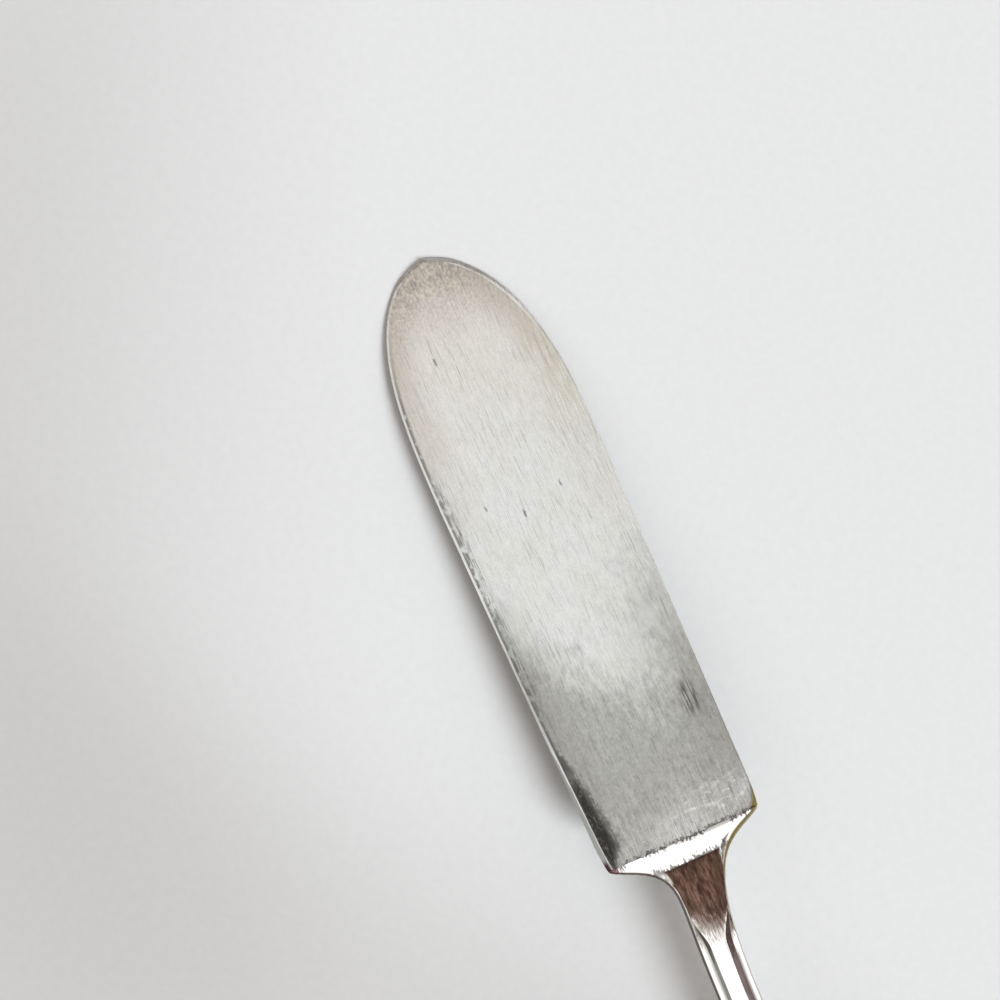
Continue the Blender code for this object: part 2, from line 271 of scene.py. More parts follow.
rim = sheet.verts.layers.float.new("rim")
past = sheet.verts.layers.float.new("past")
for point in sheet.verts:
    x, y = point.co.x, point.co.y
    width = bevel_width(x, y)
    inside = inside_bevel(x, y)
    point[rim] = min(max(-inside / width, 0.0), 1.0)
    point[past] = inside / MM
    fall = (BEVEL_FALL if y > 0.0 else EDGE_FALL) + BASE_FALL * (1.0 - ease(x / BASE_REACH))
    point.co.z -= width * fall * point[rim] ** BEVEL_CURVE
    point.co.z -= TIP_THIN * ease((x - TIP_FROM) / TIP_OVER)
    point.co.z -= END_DROP * ease((x - END_FROM) / END_OVER) * point[rim]
bmesh.update_edit_mesh(blade.data)
print("points on the bevel:", sum(point[rim] > 0.0 for point in sheet.verts))

# %% [markdown]
# ## Thickness and underside
# The sheet becomes a plate by extruding it down. The underside of a butter knife is plain, so every
# row of the new lower points is flattened to one height by scaling Z to nothing. Last the lowest rim
# is lifted a little, which breaks the sharp lower edge.

# %% Extrude the plate and flatten its underside
RIM_LIFT = 0.16 * MM
RIM_EASE = 0.65                 # share of the lift that is left out at the thin tip
LOWERED = 0.5 * MM              # any drop will do, as the lower points are flattened next

upper_count = len(sheet.verts)
bpy.ops.mesh.select_all(action="SELECT")
bpy.ops.mesh.extrude_region_move(TRANSFORM_OT_translate={"value": (0.0, 0.0, -LOWERED)})
sheet = bmesh.from_edit_mesh(blade.data)
sheet.verts.index_update()
for x in ROWS:
    pick(sheet, lambda point: point.index >= upper_count and abs(point.co.x - x) < NEAR)
    bpy.ops.transform.resize(value=(1.0, 1.0, 0.0), center_override=(x, 0.0, blade_underside(x)))
    edges = (blade_half_width(x, BACK_CURVE), -blade_half_width(x, EDGE_CURVE))
    pick(sheet, lambda point: point.index >= upper_count and abs(point.co.x - x) < NEAR
         and min(abs(point.co.y - place) for place in edges) < NEAR)
    lift = RIM_LIFT * (1.0 - RIM_EASE * ease((x - TIP_FROM) / TIP_OVER))
    bpy.ops.transform.translate(value=(0.0, 0.0, lift))
bpy.ops.mesh.select_all(action="SELECT")
bpy.ops.mesh.normals_make_consistent(inside=False)
print("plate:", len(sheet.verts), "points, volume in cubic mm:", round(sheet.calc_volume() / MM ** 3, 1))

# %% [markdown]
# ## The handle's middle line
# Behind the blade, places are measured as a distance back from its base. The handle is set a little
# to the back of the blade, and its middle line arches over the table. Bolster, tang and shells all
# follow this line, so it is written once here.

# %% Lines that bolster, tang and handle follow
COVE = 2.0 * MM
NECK_WIDTH = 4.7 * MM
NECK_THICKNESS = 4.396 * MM
NECK_AT = 18.0 * MM
SPIGOT_END = 30.0 * MM
HANDLE_MOUTH = 24.0 * MM
HANDLE_WIDTH = 13.0 * MM
HANDLE_THICKNESS = 6.4 * MM
HANDLE_SET = 1.8 * MM
SET_FROM = 2.0 * MM
SET_LENGTH = 7.7 * MM
BELLY_FROM = 83.5 * MM
BELLY_TO = 93.5 * MM
FLARE_POWER = 1.65
PANEL_RISE = 0.35 * MM


def ease_out(share):
    share = min(max(share, 0.0), 1.0)
    return 1.0 - (1.0 - share) ** 2


def flare(share):
    share = min(max(share, 0.0), 1.0)
    return share ** FLARE_POWER * (1.0 + FLARE_POWER * (1.0 - share))


def half_width(back):
    neck = NECK_WIDTH / 2
    shoulder = BLADE_BASE_WIDTH / 2 - CORNER_EASE - neck
    widening = flare((back - NECK_AT) / (BELLY_TO - NECK_AT))
    return neck + shoulder / (1.0 + (back / COVE) ** 2) + (HANDLE_WIDTH / 2 - neck) * widening


def half_thickness(back):
    neck = NECK_THICKNESS / 2
    return neck + (HANDLE_THICKNESS / 2 - neck) * flare((back - NECK_AT) / (BELLY_FROM - NECK_AT))


def side_set(back):
    run = max(0.0, back - SET_FROM)
    return HANDLE_SET * run ** 2 / (run ** 2 + SET_LENGTH ** 2)


def spine_height(back):
    start = BLADE_RISE + BLADE_BASE_THICKNESS / 2
    climb = RISE_POWER * BLADE_RISE / BLADE_LENGTH * BELLY_FROM
    along = min(back / BELLY_FROM, 1.0)
    fall = ease(along)
    return start * (1.0 - fall) + climb * along * (1.0 - along) ** 2 + HANDLE_THICKNESS / 2 * fall


print("neck at 15 mm: half width and height in mm",
      [round(value / MM, 2) for value in (half_width(15 * MM), spine_height(15 * MM))])

# %% [markdown]
# ## The tang
# The blade does not end at the bolster. A tang, in one piece with it, runs back through the neck and
# is cemented into the handle, where its notches stop it from pulling out. It is hidden, but a blade
# without it would fall off. It is made as a smith draws it: the middle of the base is inset, and
# then extruded back step by step along the handle's middle line, narrowing to a notched tail.

# %% Extrude the tang from the base
TANG_HALF_WIDTH = 1.07 * MM
TANG_HALF_THICKNESS = 0.6 * MM
TANG_INSET = 0.02 * MM
TAIL_SHARE = 0.85               # width of the tail against the root
NOTCH_SHARE = 0.7               # width left between a pair of notches
ROOT_STEPS = 10
ROOT_TO = 29.5 * MM
TAIL_STOPS = ((30.7, 1.0), (34.5, 1.0), (36.0, NOTCH_SHARE), (37.5, 1.0), (43.5, 1.0), (45.0, NOTCH_SHARE),
              (46.5, 1.0), (52.5, 1.0), (54.0, NOTCH_SHARE), (55.5, 1.0), (70.0, 1.0))
SINK_LENGTH = 11.5 * MM         # over which the tang sinks to the middle of the spigot
SMOOTH_ANGLE = math.radians(38.0)


def tang_height(back):
    return spine_height(back) - PANEL_RISE / 2 * ease(back / SINK_LENGTH)


def leave_smooth():
    """Turns the faces outwards, leaves edit mode, and smooths all but the real corners."""
    bpy.ops.mesh.select_all(action="SELECT")
    bpy.ops.mesh.normals_make_consistent(inside=False)
    bpy.ops.object.mode_set(mode="OBJECT")
    bpy.ops.object.shade_smooth_by_angle(angle=SMOOTH_ANGLE)


for face in sheet.faces:
    middle = face.calc_center_median()
    face.select = abs(middle.x) < NEAR and abs(middle.y) < TANG_SHARE * BLADE_BASE_WIDTH / 2
bpy.ops.mesh.select_mode(type="FACE")
bpy.ops.mesh.inset(thickness=TANG_INSET)
root = [point for point in sheet.verts if point.select]
wide = max(point.co.y for point in root)
tall = (max(point.co.z for point in root) - min(point.co.z for point in root)) / 2
height = sum(point.co.z for point in root) / len(root)
bpy.ops.transform.resize(value=(1.0, TANG_HALF_WIDTH / wide, TANG_HALF_THICKNESS / tall),
                         center_override=(0.0, 0.0, height))
bpy.ops.transform.translate(value=(0.0, 0.0, tang_height(0.0) - height))
stops = [(ROOT_TO * step / ROOT_STEPS, 1.0 / TAIL_SHARE) for step in range(1, ROOT_STEPS + 1)]
stops += [(place * MM, share) for place, share in TAIL_STOPS]
here, width = 0.0, 1.0 / TAIL_SHARE
for back, share in stops:
    step = (here - back, side_set(back) - side_set(here), tang_height(back) - tang_height(here))
    bpy.ops.mesh.extrude_region_move(TRANSFORM_OT_translate={"value": step})
    bpy.ops.transform.resize(value=(1.0, share / width, 1.0), center_override=(0.0, side_set(back), 0.0))
    here, width = back, share
bpy.ops.mesh.select_all(action="SELECT")
bpy.ops.transform.translate(value=(BASE_AT, 0.0, 0.0))
leave_smooth()
print("blade with tang:", len(blade.data.polygons), "faces,", round(blade.dimensions.x / MM, 1), "mm long")

# %% [markdown]
# ## A loft, ring by ring
# Bolster and handle change their cross-section all the way along. By hand that is a circle whose
# points are pushed into the first cross-section, and then extruded again and again, each new ring
# being pushed into the next one. A number on every point, its spot in the ring, survives the
# extruding, so each new point knows its place. Marks travel along in the same way, for the finishes
# to read: the sunk corners beside the panel, where polish never reaches, the slopes up to the panel,
# and the outer edges, where the plating wears through. Those on the side of the blade's back, away
# from the light, are called lee.

# %% A helper that lofts by extruding
def push_ring(mesh, ring):
    """Moves the selected points to their spots in a ring."""
    spot = mesh.verts.layers.int["spot"]
    for point in mesh.verts:
        if point.select:
            point.co = ring[point[spot]]


def loft(name, rings, marks, closed=True):
    """An open tube, or a trough where it isn't closed, skinned over rings of points."""
    start_fresh()
    count = len(rings[0])
    bpy.ops.mesh.primitive_circle_add(vertices=count, radius=MM)
    thing = bpy.context.object
    thing.name = name
    mesh = edit(thing)
    spot = mesh.verts.layers.int.new("spot")
    layers = {kind: mesh.verts.layers.float.new(kind) for kind in marks}
    mesh.verts.ensure_lookup_table()
    for number, point in enumerate(mesh.verts):
        point[spot] = number
        for kind, spots in marks.items():
            point[layers[kind]] = float(number in spots)
    if not closed:
        ends = {mesh.verts[0], mesh.verts[count - 1]}
        mesh.edges.remove(next(line for line in mesh.edges if set(line.verts) == ends))
    bpy.ops.mesh.select_all(action="SELECT")
    push_ring(mesh, rings[0])
    for ring in rings[1:]:
        bpy.ops.mesh.extrude_region_move(TRANSFORM_OT_translate={"value": (-MM, 0.0, 0.0)})
        mesh = bmesh.from_edit_mesh(thing.data)
        push_ring(mesh, ring)
    bmesh.update_edit_mesh(thing.data)
    return thing


print("loft helper ready")

# %% [markdown]
# ## The cross-section of neck and handle
# Seen end on, the neck has a raised panel along its top, a sunk border on each side of it, a rounded
# outer edge and an upright side, and its underside is a soft, slightly squared curve. Towards the
# blade the borders close up, and the top becomes one plain plateau with sloping sides. The panel's
# corners get two points each, close together, so that they catch a thin line of light as real
# polished corners do.

# %% One cross-section
PANEL_HEAD_WIDTH = 7.2 * MM
PANEL_FROM = 8.5 * MM           # where the borders start to open
PANEL_OPEN = 13.0 * MM
PLATEAU_SLOPE = 0.5 * MM        # width of the plateau's sloping sides at the shoulders
PLATEAU_FROM = 1.0 * MM
PLATEAU_LENGTH = 4.5 * MM
PLATEAU_LEAST = 0.12 * MM
BACK_SIDE = {"edge": 0.40 * MM, "corner": 0.0, "border": 0.60 * MM, "flank": 0.48 * MM, "slope": 0.9}
EDGE_SIDE = {"edge": 0.22 * MM, "corner": 0.62 * MM, "border": 0.62 * MM, "flank": 0.70 * MM, "slope": 0.45}
CORNER_FADE = 5.5 * MM
SLIVER = 0.03 * MM
FILLET = 0.07 * MM
FILLET_SHARE, SHELF_SHARE = 0.3, 0.4    # how much of a slope or a border its fillet may take
STRETCH_STEP = 0.01 * MM
BELLY_SQUARENESS = 0.72
FLAT_ANGLE = 67.5
BELLY_POINTS = 16
EDGE_TURNS = [math.radians(turn) for turn in (0.0, 22.5, 45.0, 67.5, 90.0)]
PANEL_SHARES = (0.96, 0.75, 0.5, 0.25, 0.0)


def panel_opening(back):
    return ease((back - PANEL_FROM) / (PANEL_OPEN - PANEL_FROM))


def outline_stretch(back):
    """How much longer a width gets that is measured straight across a slanting outline."""
    return math.hypot(1.0, (half_width(back + STRETCH_STEP) - half_width(back)) / STRETCH_STEP)


def side_lines(back, half, side):
    """Width and depth of the outer edge, half widths at the border's inner line and the panel's edge."""
    painted_opening_reflection = panel_opening(back)
    stretch = outline_stretch(back)
    edge = side["edge"] + side["corner"] * (1.0 - ease(back / CORNER_FADE))
    border = half - (edge + SLIVER) * stretch - side["border"] * painted_opening_reflection
    slope = PLATEAU_LEAST + PLATEAU_SLOPE * (1.0 - ease((back - PLATEAU_FROM) / PLATEAU_LENGTH))
    panel = border - side["slope"] * slope * stretch * (1.0 - painted_opening_reflection) - side["flank"] * painted_opening_reflection
    if back > NECK_AT:
        panel = min(panel, PANEL_HEAD_WIDTH / 2)
    return edge * stretch, edge, border, panel


def upper_side(half, top, ledge, crown, lines):
    """Points from the seam at one side up to the middle of the panel, as (across, up)."""
    edge, depth, border, panel = lines
    run = max(border - panel, NEAR)
    soft = min(FILLET, FILLET_SHARE * run)
    lift = (top - ledge) * soft / run
    shelf = min(FILLET, SHELF_SHARE * (half - edge - border))
    points = [(half - edge * (1.0 - math.cos(turn)), ledge - depth * (1.0 - math.sin(turn)))
              for turn in EDGE_TURNS]
    points += [(border + shelf, ledge), (border - soft, ledge + lift), (panel + soft, top - lift)]
    points += [(panel * share, top) for share in PANEL_SHARES]
    points = [(y, z - crown * (y / half) ** 2) for y, z in points]
    return [(half, 0.0), (half, points[0][1] / 2)] + points


def belly_points(half, bottom):
    """Points of the underside from the spreading side round to the back, without the seams."""
    points = []
    for step in range(1, BELLY_POINTS):
        angle = math.radians(180.0 * step / BELLY_POINTS)
        side = math.cos(angle)
        drop = min(1.0, (math.sin(angle) / math.sin(math.radians(FLAT_ANGLE))) ** BELLY_SQUARENESS)
        points.append((-half * math.copysign(abs(side) ** BELLY_SQUARENESS, side), -bottom * drop))
    return points


def whole_ring(back, half, heights, bottom, sides):
    top, ledge, crown = heights
    left, right = [upper_side(half, top, ledge, crown, lines) for lines in sides]
    points = left + [(-y, z) for y, z in reversed(right[:-1])] + belly_points(half, bottom)
    return [(BASE_AT - back, side_set(back) + y, spine_height(back) + z) for y, z in points]


UPPER_POINTS = 2 * (2 + len(EDGE_TURNS) + 3 + len(PANEL_SHARES)) - 1
GROOVE_SPOTS = (7, 8)
FLANK_SPOTS = (8, 9)
EDGE_SPOTS = (2, 3, 4, 5)
marks = {
    "groove": [spot for near in GROOVE_SPOTS for spot in (near, UPPER_POINTS - 1 - near)],
    "edge": [UPPER_POINTS - 1 - near for near in EDGE_SPOTS],
    "lee": EDGE_SPOTS,
    "edge_flank": [UPPER_POINTS - 1 - near for near in FLANK_SPOTS],
    "lee_flank": FLANK_SPOTS,
}
print("points in one ring:", UPPER_POINTS + BELLY_POINTS - 1)

# %% [markdown]
# ## The bolster
# The polished piece behind the blade is the bolster: square shoulders, a bright slope up to the neck,
# and a spigot that slips into the handle. Its loft starts a hair behind the blade, so a fine joint
# line shows. The hole for the tang is a second, inner tube. Bridging the two tubes at both ends
# closes the piece.

# %% Loft the bolster
JOINT_GAP = 0.03 * MM
FRONT_HALF_THICKNESS = 1.2 * MM
RAMP_LENGTH = 2.3 * MM
RAMP_ROUND = 0.15
LEDGE_LENGTH = 5.0 * MM
CROWN_LENGTH = 4.0 * MM
NECK_CROWN = 0.03 * MM
SHOULDER_ROWS = 72
ROW_CROWDING = 1.7              # rows lie closer together towards the blade
WALL = 0.75 * MM                # what the handle's shell and its joint take up around the spigot
SLOT_ROOM = 0.2 * MM
SPIGOT_LINES = (0.3, 0.3, 0.6, 0.4)     # what side_lines would give, as shares of the half width


def bolster_ring(back):
    half = half_width(back)
    neck = half_thickness(back)
    rise = neck - FRONT_HALF_THICKNESS
    climb = min(back / RAMP_LENGTH, 1.0)
    top = FRONT_HALF_THICKNESS + rise * climb * (1.0 + RAMP_ROUND * (1.0 - climb))
    ledge = FRONT_HALF_THICKNESS + rise * ease_out(back / LEDGE_LENGTH) - PANEL_RISE * panel_opening(back)
    crown = NECK_CROWN + (BLADE_CROWN - NECK_CROWN) * (1.0 - ease(back / CROWN_LENGTH))
    sides = [side_lines(back, half, side) for side in (BACK_SIDE, EDGE_SIDE)]
    return whole_ring(back, half, (top, ledge, crown), top, sides)


def spigot_ring(back):
    half = half_width(HANDLE_MOUTH) - WALL
    bottom = half_thickness(HANDLE_MOUTH) - WALL
    top = bottom - PANEL_RISE
    lines = [share * half for share in SPIGOT_LINES]
    return whole_ring(back, half, (top, top, 0.0), bottom, (lines, lines))


def slot_ring(back):
    half = TANG_HALF_WIDTH + SLOT_ROOM
    thick = TANG_HALF_THICKNESS + SLOT_ROOM
    points = ((half, thick), (-half, thick), (-half, -thick), (half, -thick))
    return [(BASE_AT - back, side_set(back) + y, tang_height(back) + z) for y, z in points]


def bolster_places():
    run = HANDLE_MOUTH - 2 * JOINT_GAP
    places = [JOINT_GAP + run * (step / SHOULDER_ROWS) ** ROW_CROWDING for step in range(SHOULDER_ROWS + 1)]
    return sorted(places + [RAMP_LENGTH])


def bridge_ends(thing, place):
    """Joins the two open loops that lie at one place along the knife."""
    mesh = edit(thing)
    bpy.ops.mesh.select_mode(type="EDGE")
    for line in mesh.edges:
        line.select = line.is_boundary and all(abs(end.co.x - place) < NEAR for end in line.verts)
    bpy.ops.mesh.bridge_edge_loops()
    bpy.ops.object.mode_set(mode="OBJECT")


rings = [bolster_ring(back) for back in bolster_places()]
rings += [spigot_ring(HANDLE_MOUTH - JOINT_GAP), spigot_ring(SPIGOT_END)]
bolster = loft("bolster_shoulders", rings, marks)
slot_backs = [JOINT_GAP + (SPIGOT_END - JOINT_GAP) * step / ROOT_STEPS for step in range(ROOT_STEPS + 1)]
slot = loft("tang_slot", [slot_ring(back) for back in slot_backs], {})
start_fresh()
slot.select_set(True)
bolster.select_set(True)
bpy.context.view_layer.objects.active = bolster
bpy.ops.object.join()
bridge_ends(bolster, BASE_AT - JOINT_GAP)
bridge_ends(bolster, BASE_AT - SPIGOT_END)
edit(bolster)
leave_smooth()
print("bolster:", len(bolster.data.polygons), "faces")

# %% [markdown]
# ## The handle's two shells
# A hollow handle is stamped as two halves that are soldered along the sides. Each half is a trough:
# an open ring extruded along the handle and drawn together at the butt. The Solidify modifier then
# gives it the wall of real sheet silver, and applying it makes the wall part of the mesh. The raised
# panel ends in a rounded head that runs parallel to the butt.

# %% Loft the shells
HANDLE_END = 101.98 * MM
BUTT_LENGTH = 8.5 * MM
BUTT_THIN_SHARE = 0.55
BUTT_TURN = math.radians(88.5)
SHELL_WALL = 0.5 * MM
SEAM_GAP = 0.03 * MM
HANDLE_ROWS = 44
BUTT_ROWS = 26
LEAST = 0.02 * MM               # half width that the panel keeps behind its rounded end
HEAD_FROM = 0.6                 # where on the panel's rounded end its points start to spread
HEAD_SPREAD = 0.9
BORDER, PANEL = 2, 3            # places of the border and the panel in what side_lines gives


def rounded_end(wide, long, run):
    """Half width of a rounded end of the given size, run behind where it starts."""
    return wide * math.sqrt(max(0.0, 1.0 - (run / long) ** 2))


def flank_share(run, across, border, panel):
    """How far up the slope between border and panel a point lies, both given as (width, length)."""
    low, high = 0.0, 1.0
    while high - low > NEAR:
        middle = (low + high) / 2
        wide, long = [outer + (inner - outer) * middle for outer, inner in zip(border, panel)]
        if (across / wide) ** 2 + (run / long) ** 2 < 1.0:
            low = middle
        else:
            high = middle
    return low


def handle_ring(back):
    """A cross-section of the handle. On the butt the panel's points spread over its rounded head."""
    full = half_width(min(back, BELLY_TO))
    thick = half_thickness(min(back, BELLY_TO))
    run = max(0.0, back - BELLY_TO)
    half = rounded_end(full, BUTT_LENGTH, run)
    thick *= 1.0 - BUTT_THIN_SHARE * (1.0 - half / full)
    lines = [side_lines(min(back, BELLY_TO), full, side) for side in (BACK_SIDE, EDGE_SIDE)]
    border_end, panel_end = [BUTT_LENGTH - full + (lines[0][kind] + lines[1][kind]) / 2
                             for kind in (BORDER, PANEL)]
    sides = []
    for edge, depth, border, panel in lines:
        border = max(rounded_end(border, border_end, run), 2 * LEAST)
        panel = max(rounded_end(panel, panel_end, run), LEAST)
        edge = min(edge, (half - border) / 2)
        sides.append((edge, min(edge, depth), border, panel))
    ring = whole_ring(back, half, (thick, thick - PANEL_RISE, NECK_CROWN), thick, sides)
    if run > HEAD_FROM * panel_end:
        spread = HEAD_SPREAD * ease((run / panel_end - HEAD_FROM) / (1.0 - HEAD_FROM))
        for spot in range(FLANK_SPOTS[0], UPPER_POINTS - FLANK_SPOTS[0]):
            x, y, z = ring[spot]
            which = 0 if spot <= UPPER_POINTS // 2 else 1
            step = abs(spot - UPPER_POINTS // 2) / (UPPER_POINTS // 2 - FLANK_SPOTS[0])
            across = max(abs(y - side_set(back)), spread * step * sides[which][BORDER])
            border, panel = lines[which][BORDER], lines[which][PANEL]
            up = flank_share(run, across, (border, border_end), (panel, panel_end))
            y = side_set(back) + math.copysign(across, y - side_set(back))
            z = spine_height(back) + thick - PANEL_RISE * (1.0 - up) - NECK_CROWN * (across / half) ** 2
            ring[spot] = (x, y, z)
    return ring


def handle_places():
    first = HANDLE_MOUTH + JOINT_GAP
    places = [first + (BELLY_TO - first) * step / HANDLE_ROWS for step in range(HANDLE_ROWS)]
    turns = [BUTT_TURN * step / BUTT_ROWS for step in range(BUTT_ROWS + 1)]
    return places + [BELLY_TO + (HANDLE_END - BELLY_TO) * math.sin(turn) for turn in turns]


def half_of(ring, upper):
    """The upper or lower part of a ring, drawn back a hair from the seam."""
    if upper:
        part, lift = ring[:UPPER_POINTS], SEAM_GAP
    else:
        part, lift = ring[UPPER_POINTS - 1:] + ring[:1], -SEAM_GAP
    ends = (0, len(part) - 1)
    return [(x, y, z + lift if spot in ends else z) for spot, (x, y, z) in enumerate(part)]


def evened(ring):
    """A ring with the same heights on both sides, which meet when it is drawn together."""
    return [(x, y, (z + other[2]) / 2) for (x, y, z), other in zip(ring, reversed(ring))]


def make_shell(name, upper):
    rings = [half_of(handle_ring(back), upper) for back in handle_places()]
    rings[-1] = evened(rings[-1])
    thing = loft(name, rings, marks if upper else {kind: () for kind in marks}, closed=False)
    bpy.ops.transform.resize(value=(1.0, 0.0, 1.0), center_override=(0.0, side_set(HANDLE_END), 0.0))
    bpy.ops.mesh.select_all(action="SELECT")
    bpy.ops.mesh.remove_doubles(threshold=NEAR)
    bpy.ops.mesh.normals_make_consistent(inside=False)
    bpy.ops.object.mode_set(mode="OBJECT")
    outward = sum(face.normal.z * face.area for face in thing.data.polygons)
    if (outward > 0.0) != upper:
        thing.data.flip_normals()
    wall = thing.modifiers.new("sheet_silver", "SOLIDIFY")
    wall.thickness = SHELL_WALL
    wall.offset = -1.0
    bpy.ops.object.modifier_apply(modifier=wall.name)
    bpy.ops.object.shade_smooth_by_angle(angle=SMOOTH_ANGLE)
    print(name, len(thing.data.polygons), "faces")
    return thing


top_shell = make_shell("handle_upper_half", True)
bottom_shell = make_shell("handle_lower_half", False)

# %% [markdown]
# ## Wiring a finish
# A finish is a small network of nodes. As Blender's operators act on what is active, these helpers act
# on the network that was opened last. One adds a node, sets its options, and fills each socket with a
# number or a link, so that a network can be read from top to bottom like a recipe. Places are turned
# into millimetres from the base of the blade, which keeps the recipe's numbers the same as those a
# ruler would give. Behind the base they are negative.

# %% Helpers for nodes
desk = {}                       # holds the network that is being wired


def fill(sockets, values):
    """Fills sockets with numbers or links."""
    for key, value in values.items():
        if isinstance(value, bpy.types.NodeSocket):
            desk["tree"].links.new(value, sockets[key])
        else:
            sockets[key].default_value = value


def add(kind, inputs=(), output=0, **options):
    """Adds one node and returns one of its outputs."""
    made = desk["tree"].nodes.new("ShaderNode" + kind)
    for name, value in options.items():
        setattr(made, name, value)
    fill(made.inputs, dict(inputs))
    return made.outputs[output]


def new_finish(name):
    """Starts a finish, and returns it with the sockets of its shader."""
    finish = bpy.data.materials.new(name)
    finish.use_nodes = True
    desk["tree"] = finish.node_tree
    return finish, finish.node_tree.nodes["Principled BSDF"].inputs


def mark(name):
    """A number that the points of the mesh carry."""
    return add("Attribute", output="Fac", attribute_name=name)


def part(vector, axis):
    """One of a vector's three parts."""
    return add("SeparateXYZ", {0: vector}, output=axis)


def scaled(vector, size):
    return add("VectorMath", {0: vector, "Scale": size}, operation="SCALE")


def apart(place, middle):
    """The way from a middle to each place."""
    return add("VectorMath", {0: place, 1: middle}, operation="SUBTRACT")


def measure(operation, vector, way=(0.0, 0.0, 0.0)):
    """One number made from a vector, such as its LENGTH."""
    return add("VectorMath", {0: vector, 1: way}, output="Value", operation=operation)


def distance(place, middle, stretch):
    """How far each place lies from a middle, with the axes stretched."""
    way = add("VectorMath", {0: apart(place, middle), 1: stretch}, operation="MULTIPLY")
    return measure("LENGTH", way)


def object_millimetres(middle):
    """Places on an object in millimetres from a middle."""
    return scaled(apart(add("TexCoord", output="Object"), middle), 1.0 / MM)


def ruler():
    """Places in millimetres from the base of the blade."""
    return object_millimetres((BASE_AT, 0.0, 0.0))


def upward():
    """How far a surface faces up, from -1 to 1."""
    return part(add("NewGeometry", output="Normal"), "Z")


print("node helpers ready")

# %% [markdown]
# ## Reading a recipe
# Four words carry the recipes below. A fade turns a measure into a share between 0 and 1, from where a
# stain starts to where it is full, and a zone is several fades over one measure. A wobble pushes a
# measure up and down with noise, which makes a straight border ragged. A glaze lays stains over a
# colour, one after the other. The number that ends a product is the stain's strength, and the limits
# beside a noise, which runs from 0 to 1, say how much of the surface it covers.

# %% Helpers for recipes
def sums(operation, first, second=0.0, third=0.0):
    return add("Math", {0: first, 1: second, 2: third}, operation=operation)


def product(*factors):
    return reduce(lambda total, factor: sums("MULTIPLY", total, factor), factors)


def most(*shares):
    """The greatest of several shares."""
    return reduce(lambda total, share: sums("MAXIMUM", total, share), shares)


def line(value, slope, start):
    """A straight line over a value."""
    return sums("MULTIPLY_ADD", value, slope, start)


def rest(share):
    """What a share leaves of the whole."""
    return sums("SUBTRACT", 1.0, share)


def fade(value, start, full):
    """Runs smoothly from 0 to 1 while value runs from start to full."""
    return add("MapRange", {"Value": value, "From Min": start, "From Max": full},
               interpolation_type="SMOOTHSTEP")


def zone(value, *limits):
    """The product of several fades over one value."""
    return product(*[fade(value, start, full) for start, full in limits])


def wobble(middle, *terms):
    """A middle value that several noises push up and down."""
    total = middle
    for noise, strength in terms:
        total = line(sums("SUBTRACT", noise, 0.5), strength, total)
    return total


def grain(place, cells, turn=0.0, shift=0.0, detail=2.0):
    """Noise with so many cells per millimetre along, across and up, turned by some degrees."""
    mapped = add("Mapping", {"Vector": place, "Location": (shift, shift, shift),
                             "Rotation": (0.0, 0.0, math.radians(turn)), "Scale": cells})
    return add("TexNoise", {"Vector": mapped, "Scale": 1.0, "Detail": detail})


def blend(share, first, second):
    """Mixes two colours."""
    return add("Mix", {0: share, 6: first, 7: second}, output=2, data_type="RGBA")


def glaze(colour, *stains):
    """Lays stains over a colour, each given as its share and its own colour."""
    for share, own in stains:
        colour = blend(share, colour, own)
    return colour


def bumps(strength, depth, relief):
    return add("Bump", {"Strength": strength, "Distance": depth, "Height": relief})


print("recipe helpers ready")

# %% [markdown]
# ## Satin silver for the blade
# The blade was brushed lengthwise when new, and has since been wiped, scratched and left to tarnish.
# Brushing makes metal reflect sharply along the strokes and broadly across them, which the
# anisotropy gives with its tangent laid across the blade. First come the noises that everything else
# is made ragged with: strokes and scratches at several slants, and mottled, speckled and cloudy ones.

# %% Satin silver: its noises
satin, satin_sockets = new_finish("satin_silver_worn")
place = ruler()
along, across = part(place, "X"), part(place, "Y")
rim_share = mark("rim")
inside = mark("past")
strokes = grain(place, (0.35, 6.0, 1.0), turn=2.0, detail=4.0)
slant_up = grain(place, (0.5, 7.0, 1.0), turn=10.0, shift=7.0)
slant_down = grain(place, (0.5, 7.0, 1.0), turn=-13.0, shift=17.0)
fine = grain(place, (4.0, 7.0, 1.0), shift=3.0)
mottle = grain(place, (0.8, 1.3, 1.0), shift=11.0, detail=5.0)
specks = grain(place, (2.4, 3.0, 1.0), shift=19.0, detail=6.0)
cloud = grain(place, (0.16, 0.22, 1.0), shift=5.0, detail=4.0)
scour = grain(place, (2.2, 0.8, 1.0), turn=12.0, shift=37.0, detail=5.0)
scratches = grain(place, (0.25, 8.0, 1.0), turn=4.0, shift=23.0, detail=1.0)
cross_scratches = grain(place, (0.3, 7.0, 1.0), turn=-17.0, shift=31.0, detail=1.0)
along_rough = wobble(along, (mottle, 7.0), (cloud, 12.0), (strokes, 6.0))
tip_rough = wobble(along, (mottle, 6.0), (cloud, 5.0), (strokes, 4.0))
base_rough = wobble(along, (mottle, 3.0), (strokes, 2.0))
print("satin noises:", sum(node.type == "TEX_NOISE" for node in desk["tree"].nodes))
